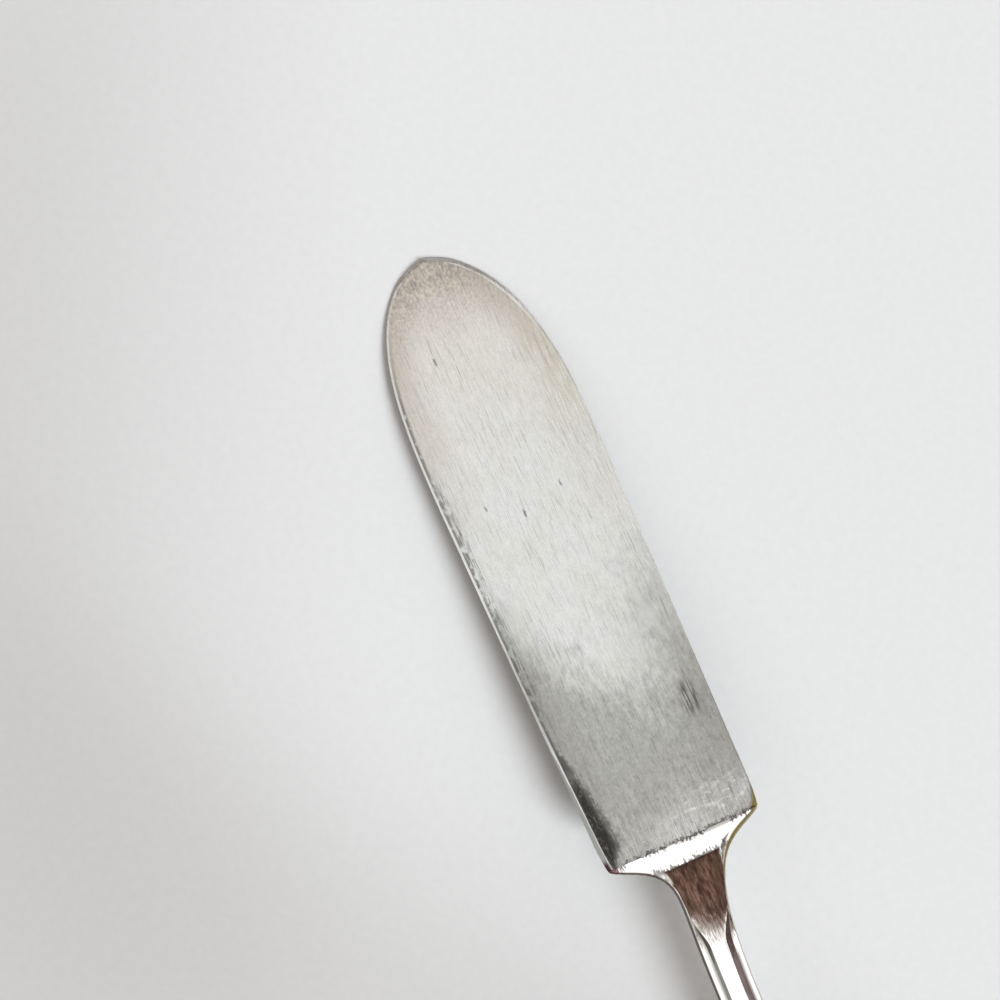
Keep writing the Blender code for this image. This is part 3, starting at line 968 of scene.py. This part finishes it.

# %% [markdown]
# Over the bare silver lie a warm tarnish at the tip and along the spreading edge, and near the base a
# grey patch with a bowed border and greyer sides, which are painted dark reflection. Beside the base lie
# a smudge, a wiped band and pale scour marks. Last, the scratches lighten and darken the whole.

# %% Satin silver: tarnish
SILVER = (0.600, 0.611, 0.606, 1.0)
CREAM = (0.590, 0.595, 0.572, 1.0)
WARM = (0.585, 0.566, 0.524, 1.0)
TARNISH = (0.40, 0.355, 0.315, 1.0)
HONEY = (0.465, 0.43, 0.35, 1.0)
# This grey is the painted dark reflection near the base; the smudge and the wiped band use it too.
REFLECTION_AND_SMUDGE_GREY = (0.345, 0.348, 0.328, 1.0)
SIDE_REFLECTION_GREY = (0.265, 0.262, 0.24, 1.0)
SCOURED = (0.78, 0.785, 0.775, 1.0)
WARM_ALONG, TIP_ALONG = (44.0, 66.0), (64.5, 76.0)
HONEY_ALONG, HONEY_ACROSS = (30.0, 64.0), (-4.0, -10.0)
BACK_ALONG, BACK_ACROSS = (34.0, 62.0), (4.5, 10.0)
RIM_ALONG, RIM_INSIDE = (56.0, 68.0), (4.5, 0.5)
EDGE_SIDE_REFLECTION_ALONG, EDGE_SIDE_REFLECTION_ACROSS = (38.0, 20.0), (1.0, -7.0)
PATCH_REFLECTION_TO, PATCH_REFLECTION_MIDDLE, PATCH_REFLECTION_EDGE = 16.0, -4.0, (-7.0, 5.0)
BOW, BOW_POWER = 0.40, 1.3      # how the patch's border runs up the blade on both sides of its middle
PATCH_REFLECTION_ALONG = (-1.0, 9.0)
SIDE_REFLECTION_ALONG, SIDE_REFLECTION_BASE, SIDE_REFLECTION_ACROSS = (40.0, 20.0), (2.0, 10.0), (4.0, 10.0)
SMUDGE_ALONG, SMUDGE_ACROSS = (9.5, 6.5), (0.5, 5.0)
WIPED_ALONG, WIPED_ACROSS = ((2.6, 4.2), (7.4, 5.4)), (-2.5, 2.0)
SCOURED_ALONG, SCOURED_ACROSS = ((5.6, 3.6), (1.2, 2.4)), (4.0, -5.0)
SCRUBBED_ALONG = (7.5, 3.0)

tip = fade(tip_rough, *TIP_ALONG)
honey = product(fade(across, *HONEY_ACROSS), fade(along_rough, *HONEY_ALONG), fade(strokes, 0.3, 0.6))
near_back = product(fade(across, *BACK_ACROSS), fade(along_rough, *BACK_ALONG))
near_rim = product(fade(inside, *RIM_INSIDE), fade(along_rough, *RIM_ALONG))
# Painted dark reflection, greyer towards the base on the spreading edge's side.
painted_edge_side_reflection = product(fade(across, *EDGE_SIDE_REFLECTION_ACROSS), fade(along_rough, *EDGE_SIDE_REFLECTION_ALONG))
# Painted dark reflection: a grey patch near the base whose bowed border follows the crowned blade.
bow = sums("POWER", sums("ABSOLUTE", sums("SUBTRACT", across, PATCH_REFLECTION_MIDDLE)), BOW_POWER)
smeared = wobble(along_rough, (slant_down, 7.0))
painted_patch_reflection = fade(sums("SUBTRACT", line(bow, BOW, PATCH_REFLECTION_TO), smeared), *PATCH_REFLECTION_EDGE)
# Painted dark reflection towards both sides, about 10 to 40 mm from the base, weaker on the spreading
# edge's side.
to_sides = fade(sums("ABSOLUTE", wobble(across, (mottle, 5.0))), *SIDE_REFLECTION_ACROSS)
painted_side_reflection = product(to_sides, fade(along_rough, *SIDE_REFLECTION_ALONG), fade(along, *SIDE_REFLECTION_BASE))
smudge = product(fade(across, *SMUDGE_ACROSS), fade(base_rough, *SMUDGE_ALONG), 0.55)
wiped = product(fade(across, *WIPED_ACROSS), zone(base_rough, *WIPED_ALONG), 0.55)
scoured = product(fade(across, *SCOURED_ACROSS), zone(base_rough, *SCOURED_ALONG), fade(scour, 0.50, 0.64))
colour = glaze(
    blend(fade(cloud, 0.40, 0.62), SILVER, CREAM),
    (product(fade(along_rough, *WARM_ALONG), 0.8), WARM),
    (tip, TARNISH),
    (product(tip, fade(mottle, 0.48, 0.60), 0.5), HONEY),
    (product(honey, 0.8), HONEY),
    (product(near_back, 0.5), TARNISH),
    (product(near_rim, 0.45), TARNISH),
    (product(painted_edge_side_reflection, 0.4), REFLECTION_AND_SMUDGE_GREY),
    (product(painted_patch_reflection, fade(along, *PATCH_REFLECTION_ALONG), 0.95), REFLECTION_AND_SMUDGE_GREY),
    (product(painted_side_reflection, line(across, 0.012, 0.60)), SIDE_REFLECTION_GREY),
    (most(smudge, wiped), REFLECTION_AND_SMUDGE_GREY),
    (product(scoured, 0.6), SCOURED),
)
blotchy = most(tip, painted_patch_reflection)
scrubbed = line(fade(base_rough, *SCRUBBED_ALONG), 0.42, 0.17)
shade = wobble(1.0, (strokes, 0.17), (slant_up, scrubbed), (slant_down, scrubbed), (fine, 0.26),
               (specks, line(blotchy, 0.4, 0.15)), (mottle, line(blotchy, 0.35, 0.25)),
               (fade(specks, 0.38, 0.62), product(tip, 0.26)))
lines = sums("ADD", fade(scratches, 0.63, 0.70), fade(cross_scratches, 0.64, 0.71))
colour = scaled(colour, line(lines, -0.20, shade))
print("tarnish is full", TIP_ALONG[1], "mm from the base and starts about", TIP_ALONG[0])

# %% [markdown]
# Dirt gathers where a cloth does not reach: in a streak beside the bevel near the base, in a broken
# band further up, and in the ragged line of the joint. A few deep pits are black as well. The bevel
# itself is rubbed bright, and at the corner of the spreading edge down to the yellow metal.

# %% Satin silver: dirt, pits and the rubbed bevel
DIRT = (0.05, 0.047, 0.043, 1.0)
RUBBED = (0.60, 0.60, 0.59, 1.0)
BRASS = (0.36, 0.30, 0.12, 1.0)
WINE = (0.13, 0.055, 0.07, 1.0)
BESIDE_INSIDE, BACK_HALF = (-0.1, 0.02), (-0.5, 0.5)
STREAK_ALONG, STREAK_EDGE = (20.0, 9.0), (1.35, 0.45)
STREAK_WIDTH, STREAK_TAPER, STREAK_LEAST = 2.9, -0.15, 0.3
STREAK_START = (0.0, 3.0)       # it is narrow at the base and widens over this length
HAIRLINE_ALONG, HAIRLINE_INSIDE = (76.0, 58.0), (0.5, 0.15)
BAND_ALONG, BAND_INSIDE = ((16.0, 24.0), (56.0, 44.0)), (1.9, 0.3)
JOINT_ALONG = (0.5, 0.2)
SCUFF_AT, SCUFF_STRETCH, SCUFF_REACH = (14.8, -7.6, 0.0), (0.7, 1.2, 0.0), (2.4, 0.4)
PITS = ((64.0, 3.9, 0.30), (42.9, 1.4, 0.30), (44.5, -4.0, 0.22), (45.2, 5.5, 0.2))
PIT_STRETCH, PIT_CORE = (0.4, 1.4, 0.0), 0.3
RUBBED_ALONG, WORN_TIP = (20.0, 8.0), (58.0, 68.0)
CORNER_ALONG, WINE_ALONG = (3.2, 1.4), (1.5, 0.6)

back_side = fade(across, *BACK_HALF)
beside = product(fade(inside, *BESIDE_INSIDE), back_side)
reach = most(line(along, STREAK_TAPER, STREAK_WIDTH), STREAK_LEAST)
reach = product(reach, line(fade(along, *STREAK_START), 0.8, 0.2))
inside_rough = wobble(inside, (strokes, 1.6), (specks, 1.6), (mottle, 1.2))
broken = wobble(1.0, (strokes, 0.9), (specks, 1.0), (mottle, 0.9))
streak = product(beside, fade(sums("DIVIDE", inside_rough, reach), *STREAK_EDGE),
                 fade(along_rough, *STREAK_ALONG), broken)
hairline = product(beside, fade(inside, *HAIRLINE_INSIDE), fade(along_rough, *HAIRLINE_ALONG),
                   fade(mottle, 0.34, 0.50))
band = product(beside, fade(inside, *BAND_INSIDE), zone(along_rough, *BAND_ALONG),
               fade(strokes, 0.38, 0.56), fade(mottle, 0.36, 0.54))
ragged = wobble(along, (strokes, 1.0), (specks, 1.4), (mottle, 0.8))
joint = product(fade(ragged, *JOINT_ALONG), fade(mottle, 0.42, 0.54))
scuff = product(fade(distance(place, SCUFF_AT, SCUFF_STRETCH), *SCUFF_REACH), fade(slant_up, 0.40, 0.62))
dirt = most(streak, product(hairline, 0.6), product(band, 0.7), product(joint, 0.75), product(scuff, 0.75))
for spot_along, spot_across, size in PITS:
    off = wobble(distance(place, (spot_along, spot_across, 0.0), PIT_STRETCH), (fine, 0.5))
    dirt = most(dirt, product(fade(off, size, PIT_CORE * size), 0.62))
worn_tip = product(fade(along, *WORN_TIP), rest(back_side))
bright = most(line(fade(along_rough, *RUBBED_ALONG), 0.65, 0.35), worn_tip)
rubbed = product(fade(rim_share, 0.0, 0.25), bright)
worn_along = wobble(along, (mottle, 2.5), (specks, 2.0))
corner_wear = product(fade(rim_share, 0.2, 0.5), fade(worn_along, *CORNER_ALONG), fade(upward(), -0.4, 0.5))
colour = glaze(
    colour,
    (dirt, DIRT),
    (product(rubbed, 0.9), RUBBED),
    (product(corner_wear, rest(back_side)), BRASS),
    (product(corner_wear, back_side, fade(along, *WINE_ALONG)), WINE),
)
print("dirt beside the bevel, and", len(PITS), "pits")

# %% [markdown]
# The shader takes the colour, a roughness that follows the strokes, and shallow bumps. The tangent
# comes from the UV map that was laid out on the flat sheet.

# %% Satin silver: the shader
rough = wobble(0.28, (strokes, 0.16), (mottle, 0.10))
rough = line(dirt, 0.2, line(tip, 0.06, rough))
relief = wobble(0.0, (strokes, 0.5), (slant_up, 0.35), (slant_down, 0.35), (fine, 0.15), (mottle, 0.3))
fill(satin_sockets, {
    "Base Color": colour,
    "Roughness": line(rubbed, -0.18, rough),
    "Normal": bumps(0.25, 0.05 * MM, relief),
    "Tangent": add("Tangent", direction_type="UV_MAP", uv_map="UVMap"),
    "Metallic": 1.0,
    "Anisotropic": 0.7,
})
blade.data.materials.append(satin)
print("satin finish:", len(satin.node_tree.nodes), "nodes")

# %% [markdown]
# ## Polished silver for bolster and handle
# Bolster and handle were buffed to a mirror. Years of wiping leave fine lengthwise swirls that blur
# the mirror a little. Dark patina stays in the sunk corners beside the panel. The panel's slopes carry
# painted reflections, mauve on the spreading edge's side and grey-green on the back's, and the neck's
# plateau a painted brown reflection with darker wisps, grey-green blotches and dark spots, which runs
# on over the slopes where the panel opens and is edged by a painted dark line along the crease at its
# front. The outer edge on the side away from the light gets a painted dark reflection, and along the
# shoulder's outer edge the plating is worn through to the yellow metal. One recipe serves both pieces,
# with more wear and painted edge shade at the shoulders.

# %% The polished finish
PLATE = (0.93, 0.92, 0.905, 1.0)
AGED = (0.74, 0.735, 0.72, 1.0)
PATINA = (0.16, 0.14, 0.12, 1.0)
# The brown, umber, mauve and grey-green below colour painted reflections; the soot colour paints dark lines
# and spots, and the dark joint.
BROWN_REFLECTION = (0.43, 0.365, 0.325, 1.0)
DARK_BROWN_REFLECTION = (0.085, 0.055, 0.04, 1.0)
SOOT_AND_DARK_REFLECTION = (0.10, 0.085, 0.085, 1.0)
MAUVE_REFLECTION = (0.29, 0.215, 0.215, 1.0)
GREY_GREEN_REFLECTION = (0.34, 0.35, 0.30, 1.0)
AGED_ALONG, SUNK_ALONG = (-16.0, -34.0), (-6.0, -9.0)
FLANK_ALONG = ((-2.2, -4.0), (-30.0, -19.0))
OPENING_ALONG = ((-6.5, -8.5), (-15.5, -12.5))
PLATEAU_ALONG, PLATEAU_UP = ((-2.0, -2.6), (-13.0, -10.0)), (0.96, 0.985)
LIP_FRONT, LIP_BACK, LIP_UP = (-2.0, -2.35), (-3.2, -2.4), (0.5, 0.8)
JOINT_BEHIND = (-0.4, 0.0)
BARE_ALONG, LEE_ALONG = (-9.0, -4.0), (-23.6, -19.6)
CORNER_ACROSS = (7.9, 8.7)


def polished(name, wear_and_painted_shade, blur):
    """A mirror with a share of wear and painted edge shade at its edges, and a roughness that blurs it."""
    finish, sockets = new_finish(name)
    place = ruler()
    along, across = part(place, "X"), part(place, "Y")
    facing = upward()
    edge_flank, lee_flank = mark("edge_flank"), mark("lee_flank")
    swirls = grain(place, (0.6, 6.0, 6.0), turn=3.0, detail=3.0)
    wisps = grain(place, (1.0, 3.4, 3.4), turn=-12.0, shift=5.0, detail=4.0)
    cloud = grain(place, (0.25, 0.4, 0.4), shift=9.0, detail=3.0)
    spots = grain(place, (0.45, 2.2, 2.2), turn=-14.0, shift=13.0, detail=5.0)
    ragged = wobble(along, (swirls, 3.0), (wisps, 4.0))
    torn = wobble(along, (swirls, 0.8), (wisps, 2.8))
    sunk = product(fade(mark("groove"), 0.4, 1.0), fade(along, *SUNK_ALONG), fade(cloud, 0.30, 0.55))
    # Painted reflections on the panel's slopes: mauve on the spreading edge's side, grey-green on the
    # back's.
    painted_slope_reflections = product(zone(along, *FLANK_ALONG), wobble(0.85, (swirls, 0.6)))
    # Painted dark brown reflection on the slopes where the panel opens.
    painted_opening_reflection = product(zone(ragged, *OPENING_ALONG), fade(most(lee_flank, edge_flank), 0.2, 0.7))
    # Painted brown reflection on the neck's plateau, with darker wisps, grey-green blotches and dark spots.
    painted_plateau_reflection = product(fade(facing, *PLATEAU_UP), zone(ragged, *PLATEAU_ALONG))
    # Painted dark line along the crease at the front of the plateau.
    painted_crease_line = product(fade(torn, *LIP_FRONT), fade(along, *LIP_BACK), fade(facing, *LIP_UP), 0.85)
    joint = product(fade(torn, *JOINT_BEHIND), fade(cloud, 0.44, 0.58))
    bare = product(fade(mark("edge"), 0.2, 0.8), fade(wobble(along, (cloud, 6.0)), *BARE_ALONG))
    # Painted dark reflection along the outer edge on the side away from the light.
    painted_lee_reflection = product(fade(mark("lee"), 0.1, 0.8), fade(along, *LEE_ALONG))
    corner = product(fade(wobble(across, (swirls, 3.0)), *CORNER_ACROSS), fade(facing, *LIP_UP))
    colour = glaze(
        blend(fade(along, *AGED_ALONG), PLATE, AGED),
        (product(sunk, 0.6), PATINA),
        (product(painted_slope_reflections, fade(edge_flank, 0.2, 0.8)), MAUVE_REFLECTION),
        (product(painted_slope_reflections, fade(lee_flank, 0.2, 0.8)), GREY_GREEN_REFLECTION),
        (product(painted_opening_reflection, 0.8), DARK_BROWN_REFLECTION),
        (product(painted_plateau_reflection, wobble(0.65, (wisps, 3.2), (swirls, 1.8))), BROWN_REFLECTION),
        (product(painted_plateau_reflection, fade(cloud, 0.48, 0.58), 0.6), GREY_GREEN_REFLECTION),
        (product(painted_plateau_reflection, fade(spots, 0.47, 0.62), 0.6), SOOT_AND_DARK_REFLECTION),
        (product(most(painted_crease_line, joint), wear_and_painted_shade), SOOT_AND_DARK_REFLECTION),
        (product(bare, wear_and_painted_shade), BRASS),
        (product(painted_lee_reflection, wear_and_painted_shade), DARK_BROWN_REFLECTION),
        (product(corner, wear_and_painted_shade), WINE),
    )
    fill(sockets, {
        "Base Color": colour,
        "Roughness": line(sunk, 0.2, wobble(blur, (swirls, blur))),
        "Normal": bumps(0.02, 0.03 * MM, wobble(0.0, (swirls, 0.35), (wisps, 0.7))),
        "Metallic": 1.0,
    })
    print(name, len(finish.node_tree.nodes), "nodes")
    return finish


bolster.data.materials.append(polished("polished_silver_worn", wear_and_painted_shade=0.9, blur=0.09))
handle_finish = polished("handle_silver_buffed", wear_and_painted_shade=0.2, blur=0.11)
for shell in (top_shell, bottom_shell):
    shell.data.materials.append(handle_finish)

# %% [markdown]
# ## Cement inside the handle
# A hollow handle is filled with cement so that it feels solid and holds the tang. Nobody sees it, so
# the CAD solid stays as it is and only gets a chalky, grainy finish.

# %% The cement finish
CEMENT_DARK = (0.34, 0.30, 0.25, 1.0)
CEMENT_PALE = (0.58, 0.54, 0.47, 1.0)
cement, sockets = new_finish("handle_cement_cast")
lumps = grain(ruler(), (1.2, 1.2, 1.2), detail=5.0)
fill(sockets, {
    "Base Color": blend(lumps, CEMENT_DARK, CEMENT_PALE),
    "Normal": bumps(0.5, 0.1 * MM, lumps),
    "Roughness": 0.9,
})
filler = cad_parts["handle_filler"]
filler.data.materials.clear()
filler.data.materials.append(cement)
print("cement finish:", len(cement.node_tree.nodes), "nodes")

# %% [markdown]
# ## Which piece stands for which solid
# Every new piece rides on the knife's one body and hides the CAD solid that it stands for. The table
# also lists the material slot that its finish belongs to, which nothing here reads.

# %% Tie the pieces to the frame
STANDS_FOR = (
    (blade, "blade", "satin_silver"),
    (bolster, "bolster", "polished_silver"),
    (top_shell, "handle_top_shell", "handle_silver"),
    (bottom_shell, "handle_bottom_shell", "handle_silver"),
)
for piece, node, slot_name in STANDS_FOR:
    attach(piece, "root")
    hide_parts(node)
    print(piece.name, "stands for", node)

# %% [markdown]
# ## The table
# The knife lies on a pale, slightly speckled table, which is stage and not part of the knife. It is
# a plane far larger than the picture, so that no edge of it shows from any side.

# %% The table
TABLE_SIZE = 40.0
TABLE_DROP = 0.02 * MM          # keeps the table's face apart from the belly's
# Two greys of the table's speckle, mixed by noise.
TABLE_DARK_SPECK = (0.77, 0.77, 0.77, 1.0)
TABLE_PALE_SPECK = (0.83, 0.83, 0.83, 1.0)


def stage_plane(name, length, width, place):
    """Adds a plane with its place in its mesh."""
    start_fresh()
    bpy.ops.mesh.primitive_plane_add(size=1.0)
    thing = bpy.context.object
    thing.name = name
    edit(thing)
    bpy.ops.transform.resize(value=(length, width, 1.0))
    bpy.ops.transform.translate(value=place)
    bpy.ops.object.mode_set(mode="OBJECT")
    return thing


floor = stage_plane("table", TABLE_SIZE, TABLE_SIZE, (0.0, 0.0, -TABLE_DROP))
paper, sockets = new_finish("pale_table")
speckle = grain(ruler(), (0.9, 0.9, 0.9), detail=4.0)
fill(sockets, {
    "Base Color": blend(speckle, TABLE_DARK_SPECK, TABLE_PALE_SPECK),
    "Roughness": 0.8,
    "Specular IOR Level": 0.1,
})
floor.data.materials.append(paper)
print("table:", TABLE_SIZE, "m wide")

# %% [markdown]
# ## The lights
# A soft key light from low on one side throws a soft shadow to the other. Polished metal shows what
# surrounds it, so a wide white panel overhead gives it something bright to reflect, and the room
# around is darker above than at the sides. The panel lights no table and the key shows in no metal,
# so each can be set without spoiling what the other does.

# %% The lights
VIEW_TURN = math.radians(-114.0)
LOOK_AT = (58.515 * MM, 3.486 * MM)
ROOM_EDGE_SIDE = (0.60, 0.57, 0.56, 1.0)
ROOM_BACK_SIDE = (0.57, 0.57, 0.555, 1.0)
ROOM_ABOVE = (0.30, 0.245, 0.215, 1.0)
SIDES_MEET, ABOVE_FROM = (-0.5, 0.5), (0.6, 0.85)
OVERHEAD_AT = Vector((0.12, 0.20, 1.0))     # from the middle of the picture
OVERHEAD_ACROSS, OVERHEAD_POWER, OVERHEAD_COLOUR = 1.8, 7.96, (1.0, 1.044, 1.058)
KEY_FROM = Vector((-1.85, -0.63, 1.21))     # towards the key lamp, which stands far away
KEY_SOFTNESS, KEY_STRENGTH, KEY_COLOUR = math.radians(23.0), 3.35, (1.0, 1.068, 1.108)


def hang_light(name, kind, way, power, colour):
    """Adds a lamp that stands on its way from the middle of the picture and is aimed back at it."""
    lamp = bpy.data.lights.new(name, kind)
    lamp.energy = power
    lamp.color = colour
    light = bpy.data.objects.new(name, lamp)
    bpy.context.scene.collection.objects.link(light)
    light.location = (LOOK_AT[0] + way.x, LOOK_AT[1] + way.y, way.z)
    light.rotation_euler = way.to_track_quat("Z", "Y").to_euler()
    return light


def hide_from(thing, *rays):
    """Hides a thing from some kinds of light rays."""
    for ray in rays:
        setattr(thing, "visible_" + ray, False)


room = bpy.data.worlds.new("studio")
room.use_nodes = True
desk["tree"] = room.node_tree
sky = add("TexCoord", output="Generated")
sides = blend(fade(part(sky, "Y"), *SIDES_MEET), ROOM_EDGE_SIDE, ROOM_BACK_SIDE)
surround = blend(fade(part(sky, "Z"), *ABOVE_FROM), sides, ROOM_ABOVE)
fill(room.node_tree.nodes["Background"].inputs, {"Color": surround})
bpy.context.scene.world = room
overhead = hang_light("overhead_panel", "AREA", OVERHEAD_AT, OVERHEAD_POWER, OVERHEAD_COLOUR)
overhead.data.shape = "DISK"
overhead.data.size = OVERHEAD_ACROSS
hide_from(overhead, "diffuse")
key = hang_light("key_lamp", "SUN", KEY_FROM, KEY_STRENGTH, KEY_COLOUR)
key.data.angle = KEY_SOFTNESS
hide_from(key, "glossy")
print("lights:", overhead.name, key.name)

# %% [markdown]
# ## The net
# A photographer's net is a frame with thin black cloth that takes part of the light away. This one
# hangs low between the key lamp and the near left corner of the table. Its cloth is denser towards
# that corner, so the table falls off into a soft grey there, and beyond the net it is light again.

# %% The net
NET_HEIGHT = 30.0 * MM
NET_SIZE = 0.5
NET_LIMIT = 0.46                            # share of the light that the densest cloth takes
NET_ENDS = (150.0, 72.0)                    # where the cloth thins out again, in mm from the middle
SIDE_FROM, SIDE_TO, SIDE_TAKES = -20.0, -62.0, 0.37
NEAR_FROM, NEAR_TO, NEAR_TAKES = -28.0, -58.0, 0.32
NEAR_LEAN = 0.6                             # how far the near part leans to the side

shift = KEY_FROM * (NET_HEIGHT / KEY_FROM.z)
net_middle = (LOOK_AT[0] + shift.x, LOOK_AT[1] + shift.y, NET_HEIGHT)
right_way = Vector((math.cos(VIEW_TURN), math.sin(VIEW_TURN), 0.0))
up_way = Vector((-math.sin(VIEW_TURN), math.cos(VIEW_TURN), 0.0))
net = stage_plane("light_net", NET_SIZE, NET_SIZE, net_middle)
cloth = new_finish("light_net")[0]
spread = object_millimetres(net_middle)
right = measure("DOT_PRODUCT", spread, right_way)
near = measure("DOT_PRODUCT", spread, (NEAR_LEAN * right_way + up_way).normalized())
side_part = add("MapRange", {"Value": right, "From Min": SIDE_FROM, "From Max": SIDE_TO})
taken = line(side_part, SIDE_TAKES, product(fade(near, NEAR_FROM, NEAR_TO), NEAR_TAKES))
taken = product(sums("MINIMUM", taken, NET_LIMIT), fade(measure("LENGTH", spread), *NET_ENDS))
passing = rest(taken)
clear = add("BsdfTransparent", {"Color": add("CombineColor", {0: passing, 1: passing, 2: passing})})
fill(cloth.node_tree.nodes["Material Output"].inputs, {"Surface": clear})
net.data.materials.append(cloth)
hide_from(net, "camera", "glossy", "diffuse")
print("the net takes up to", NET_LIMIT, "of the light")

# %% [markdown]
# ## The dark card
# A mirror that shows only white looks like paper. A dark card beside the camera gives the neck
# something brown to reflect, as the person holding a camera would. It shows in the metal alone, and
# its far edge leans, so the brown ends at a slant.

# %% The dark card
CARD_FROM, CARD_TO = -58.0 * MM, -2.0 * MM
CARD_HALF = 60.0 * MM
CARD_HEIGHT = 262.0 * MM
CARD_SLANT = 0.45               # how far the card's far edge leans, against its half width
CARD_BROWN = (0.225, 0.125, 0.095, 1.0)

card_middle = (BASE_AT + (CARD_FROM + CARD_TO) / 2, 0.0, CARD_HEIGHT)
card = stage_plane("dark_card", CARD_TO - CARD_FROM, 2 * CARD_HALF, card_middle)
board = edit(card)
for side in (1.0, -1.0):
    pick(board, lambda point: point.co.x < BASE_AT + CARD_FROM + NEAR and point.co.y * side > 0.0)
    bpy.ops.transform.translate(value=(side * CARD_SLANT * CARD_HALF, 0.0, 0.0))
bpy.ops.object.mode_set(mode="OBJECT")
dark = new_finish("dark_card")[0]
glow = add("Emission", {"Color": CARD_BROWN, "Strength": 1.0})
fill(dark.node_tree.nodes["Material Output"].inputs, {"Surface": glow})
card.data.materials.append(dark)
hide_from(card, "camera", "diffuse", "shadow")
print("dark card", round(card.dimensions.y / MM), "mm wide")

# %% [markdown]
# ## The camera
# The photograph looks straight down. The lens follows from how wide the view is at the height of the
# blade.

# %% The camera
CAMERA_HEIGHT = 254.0 * MM
VIEW_HEIGHT = 4.0 * MM          # the height at which the view is as wide as said below
VIEW_WIDTH = 119.9 * MM
SENSOR = 36.0
lens = bpy.data.cameras.new("camera")
lens.sensor_width = SENSOR
lens.lens = SENSOR * (CAMERA_HEIGHT - VIEW_HEIGHT) / VIEW_WIDTH
camera = bpy.data.objects.new("camera", lens)
bpy.context.scene.collection.objects.link(camera)
camera.location = (LOOK_AT[0], LOOK_AT[1], CAMERA_HEIGHT)
camera.rotation_euler = (0.0, 0.0, VIEW_TURN)
bpy.context.scene.camera = camera
bpy.context.scene.view_settings.view_transform = "Standard"
print("camera lens in mm:", round(lens.lens, 1))
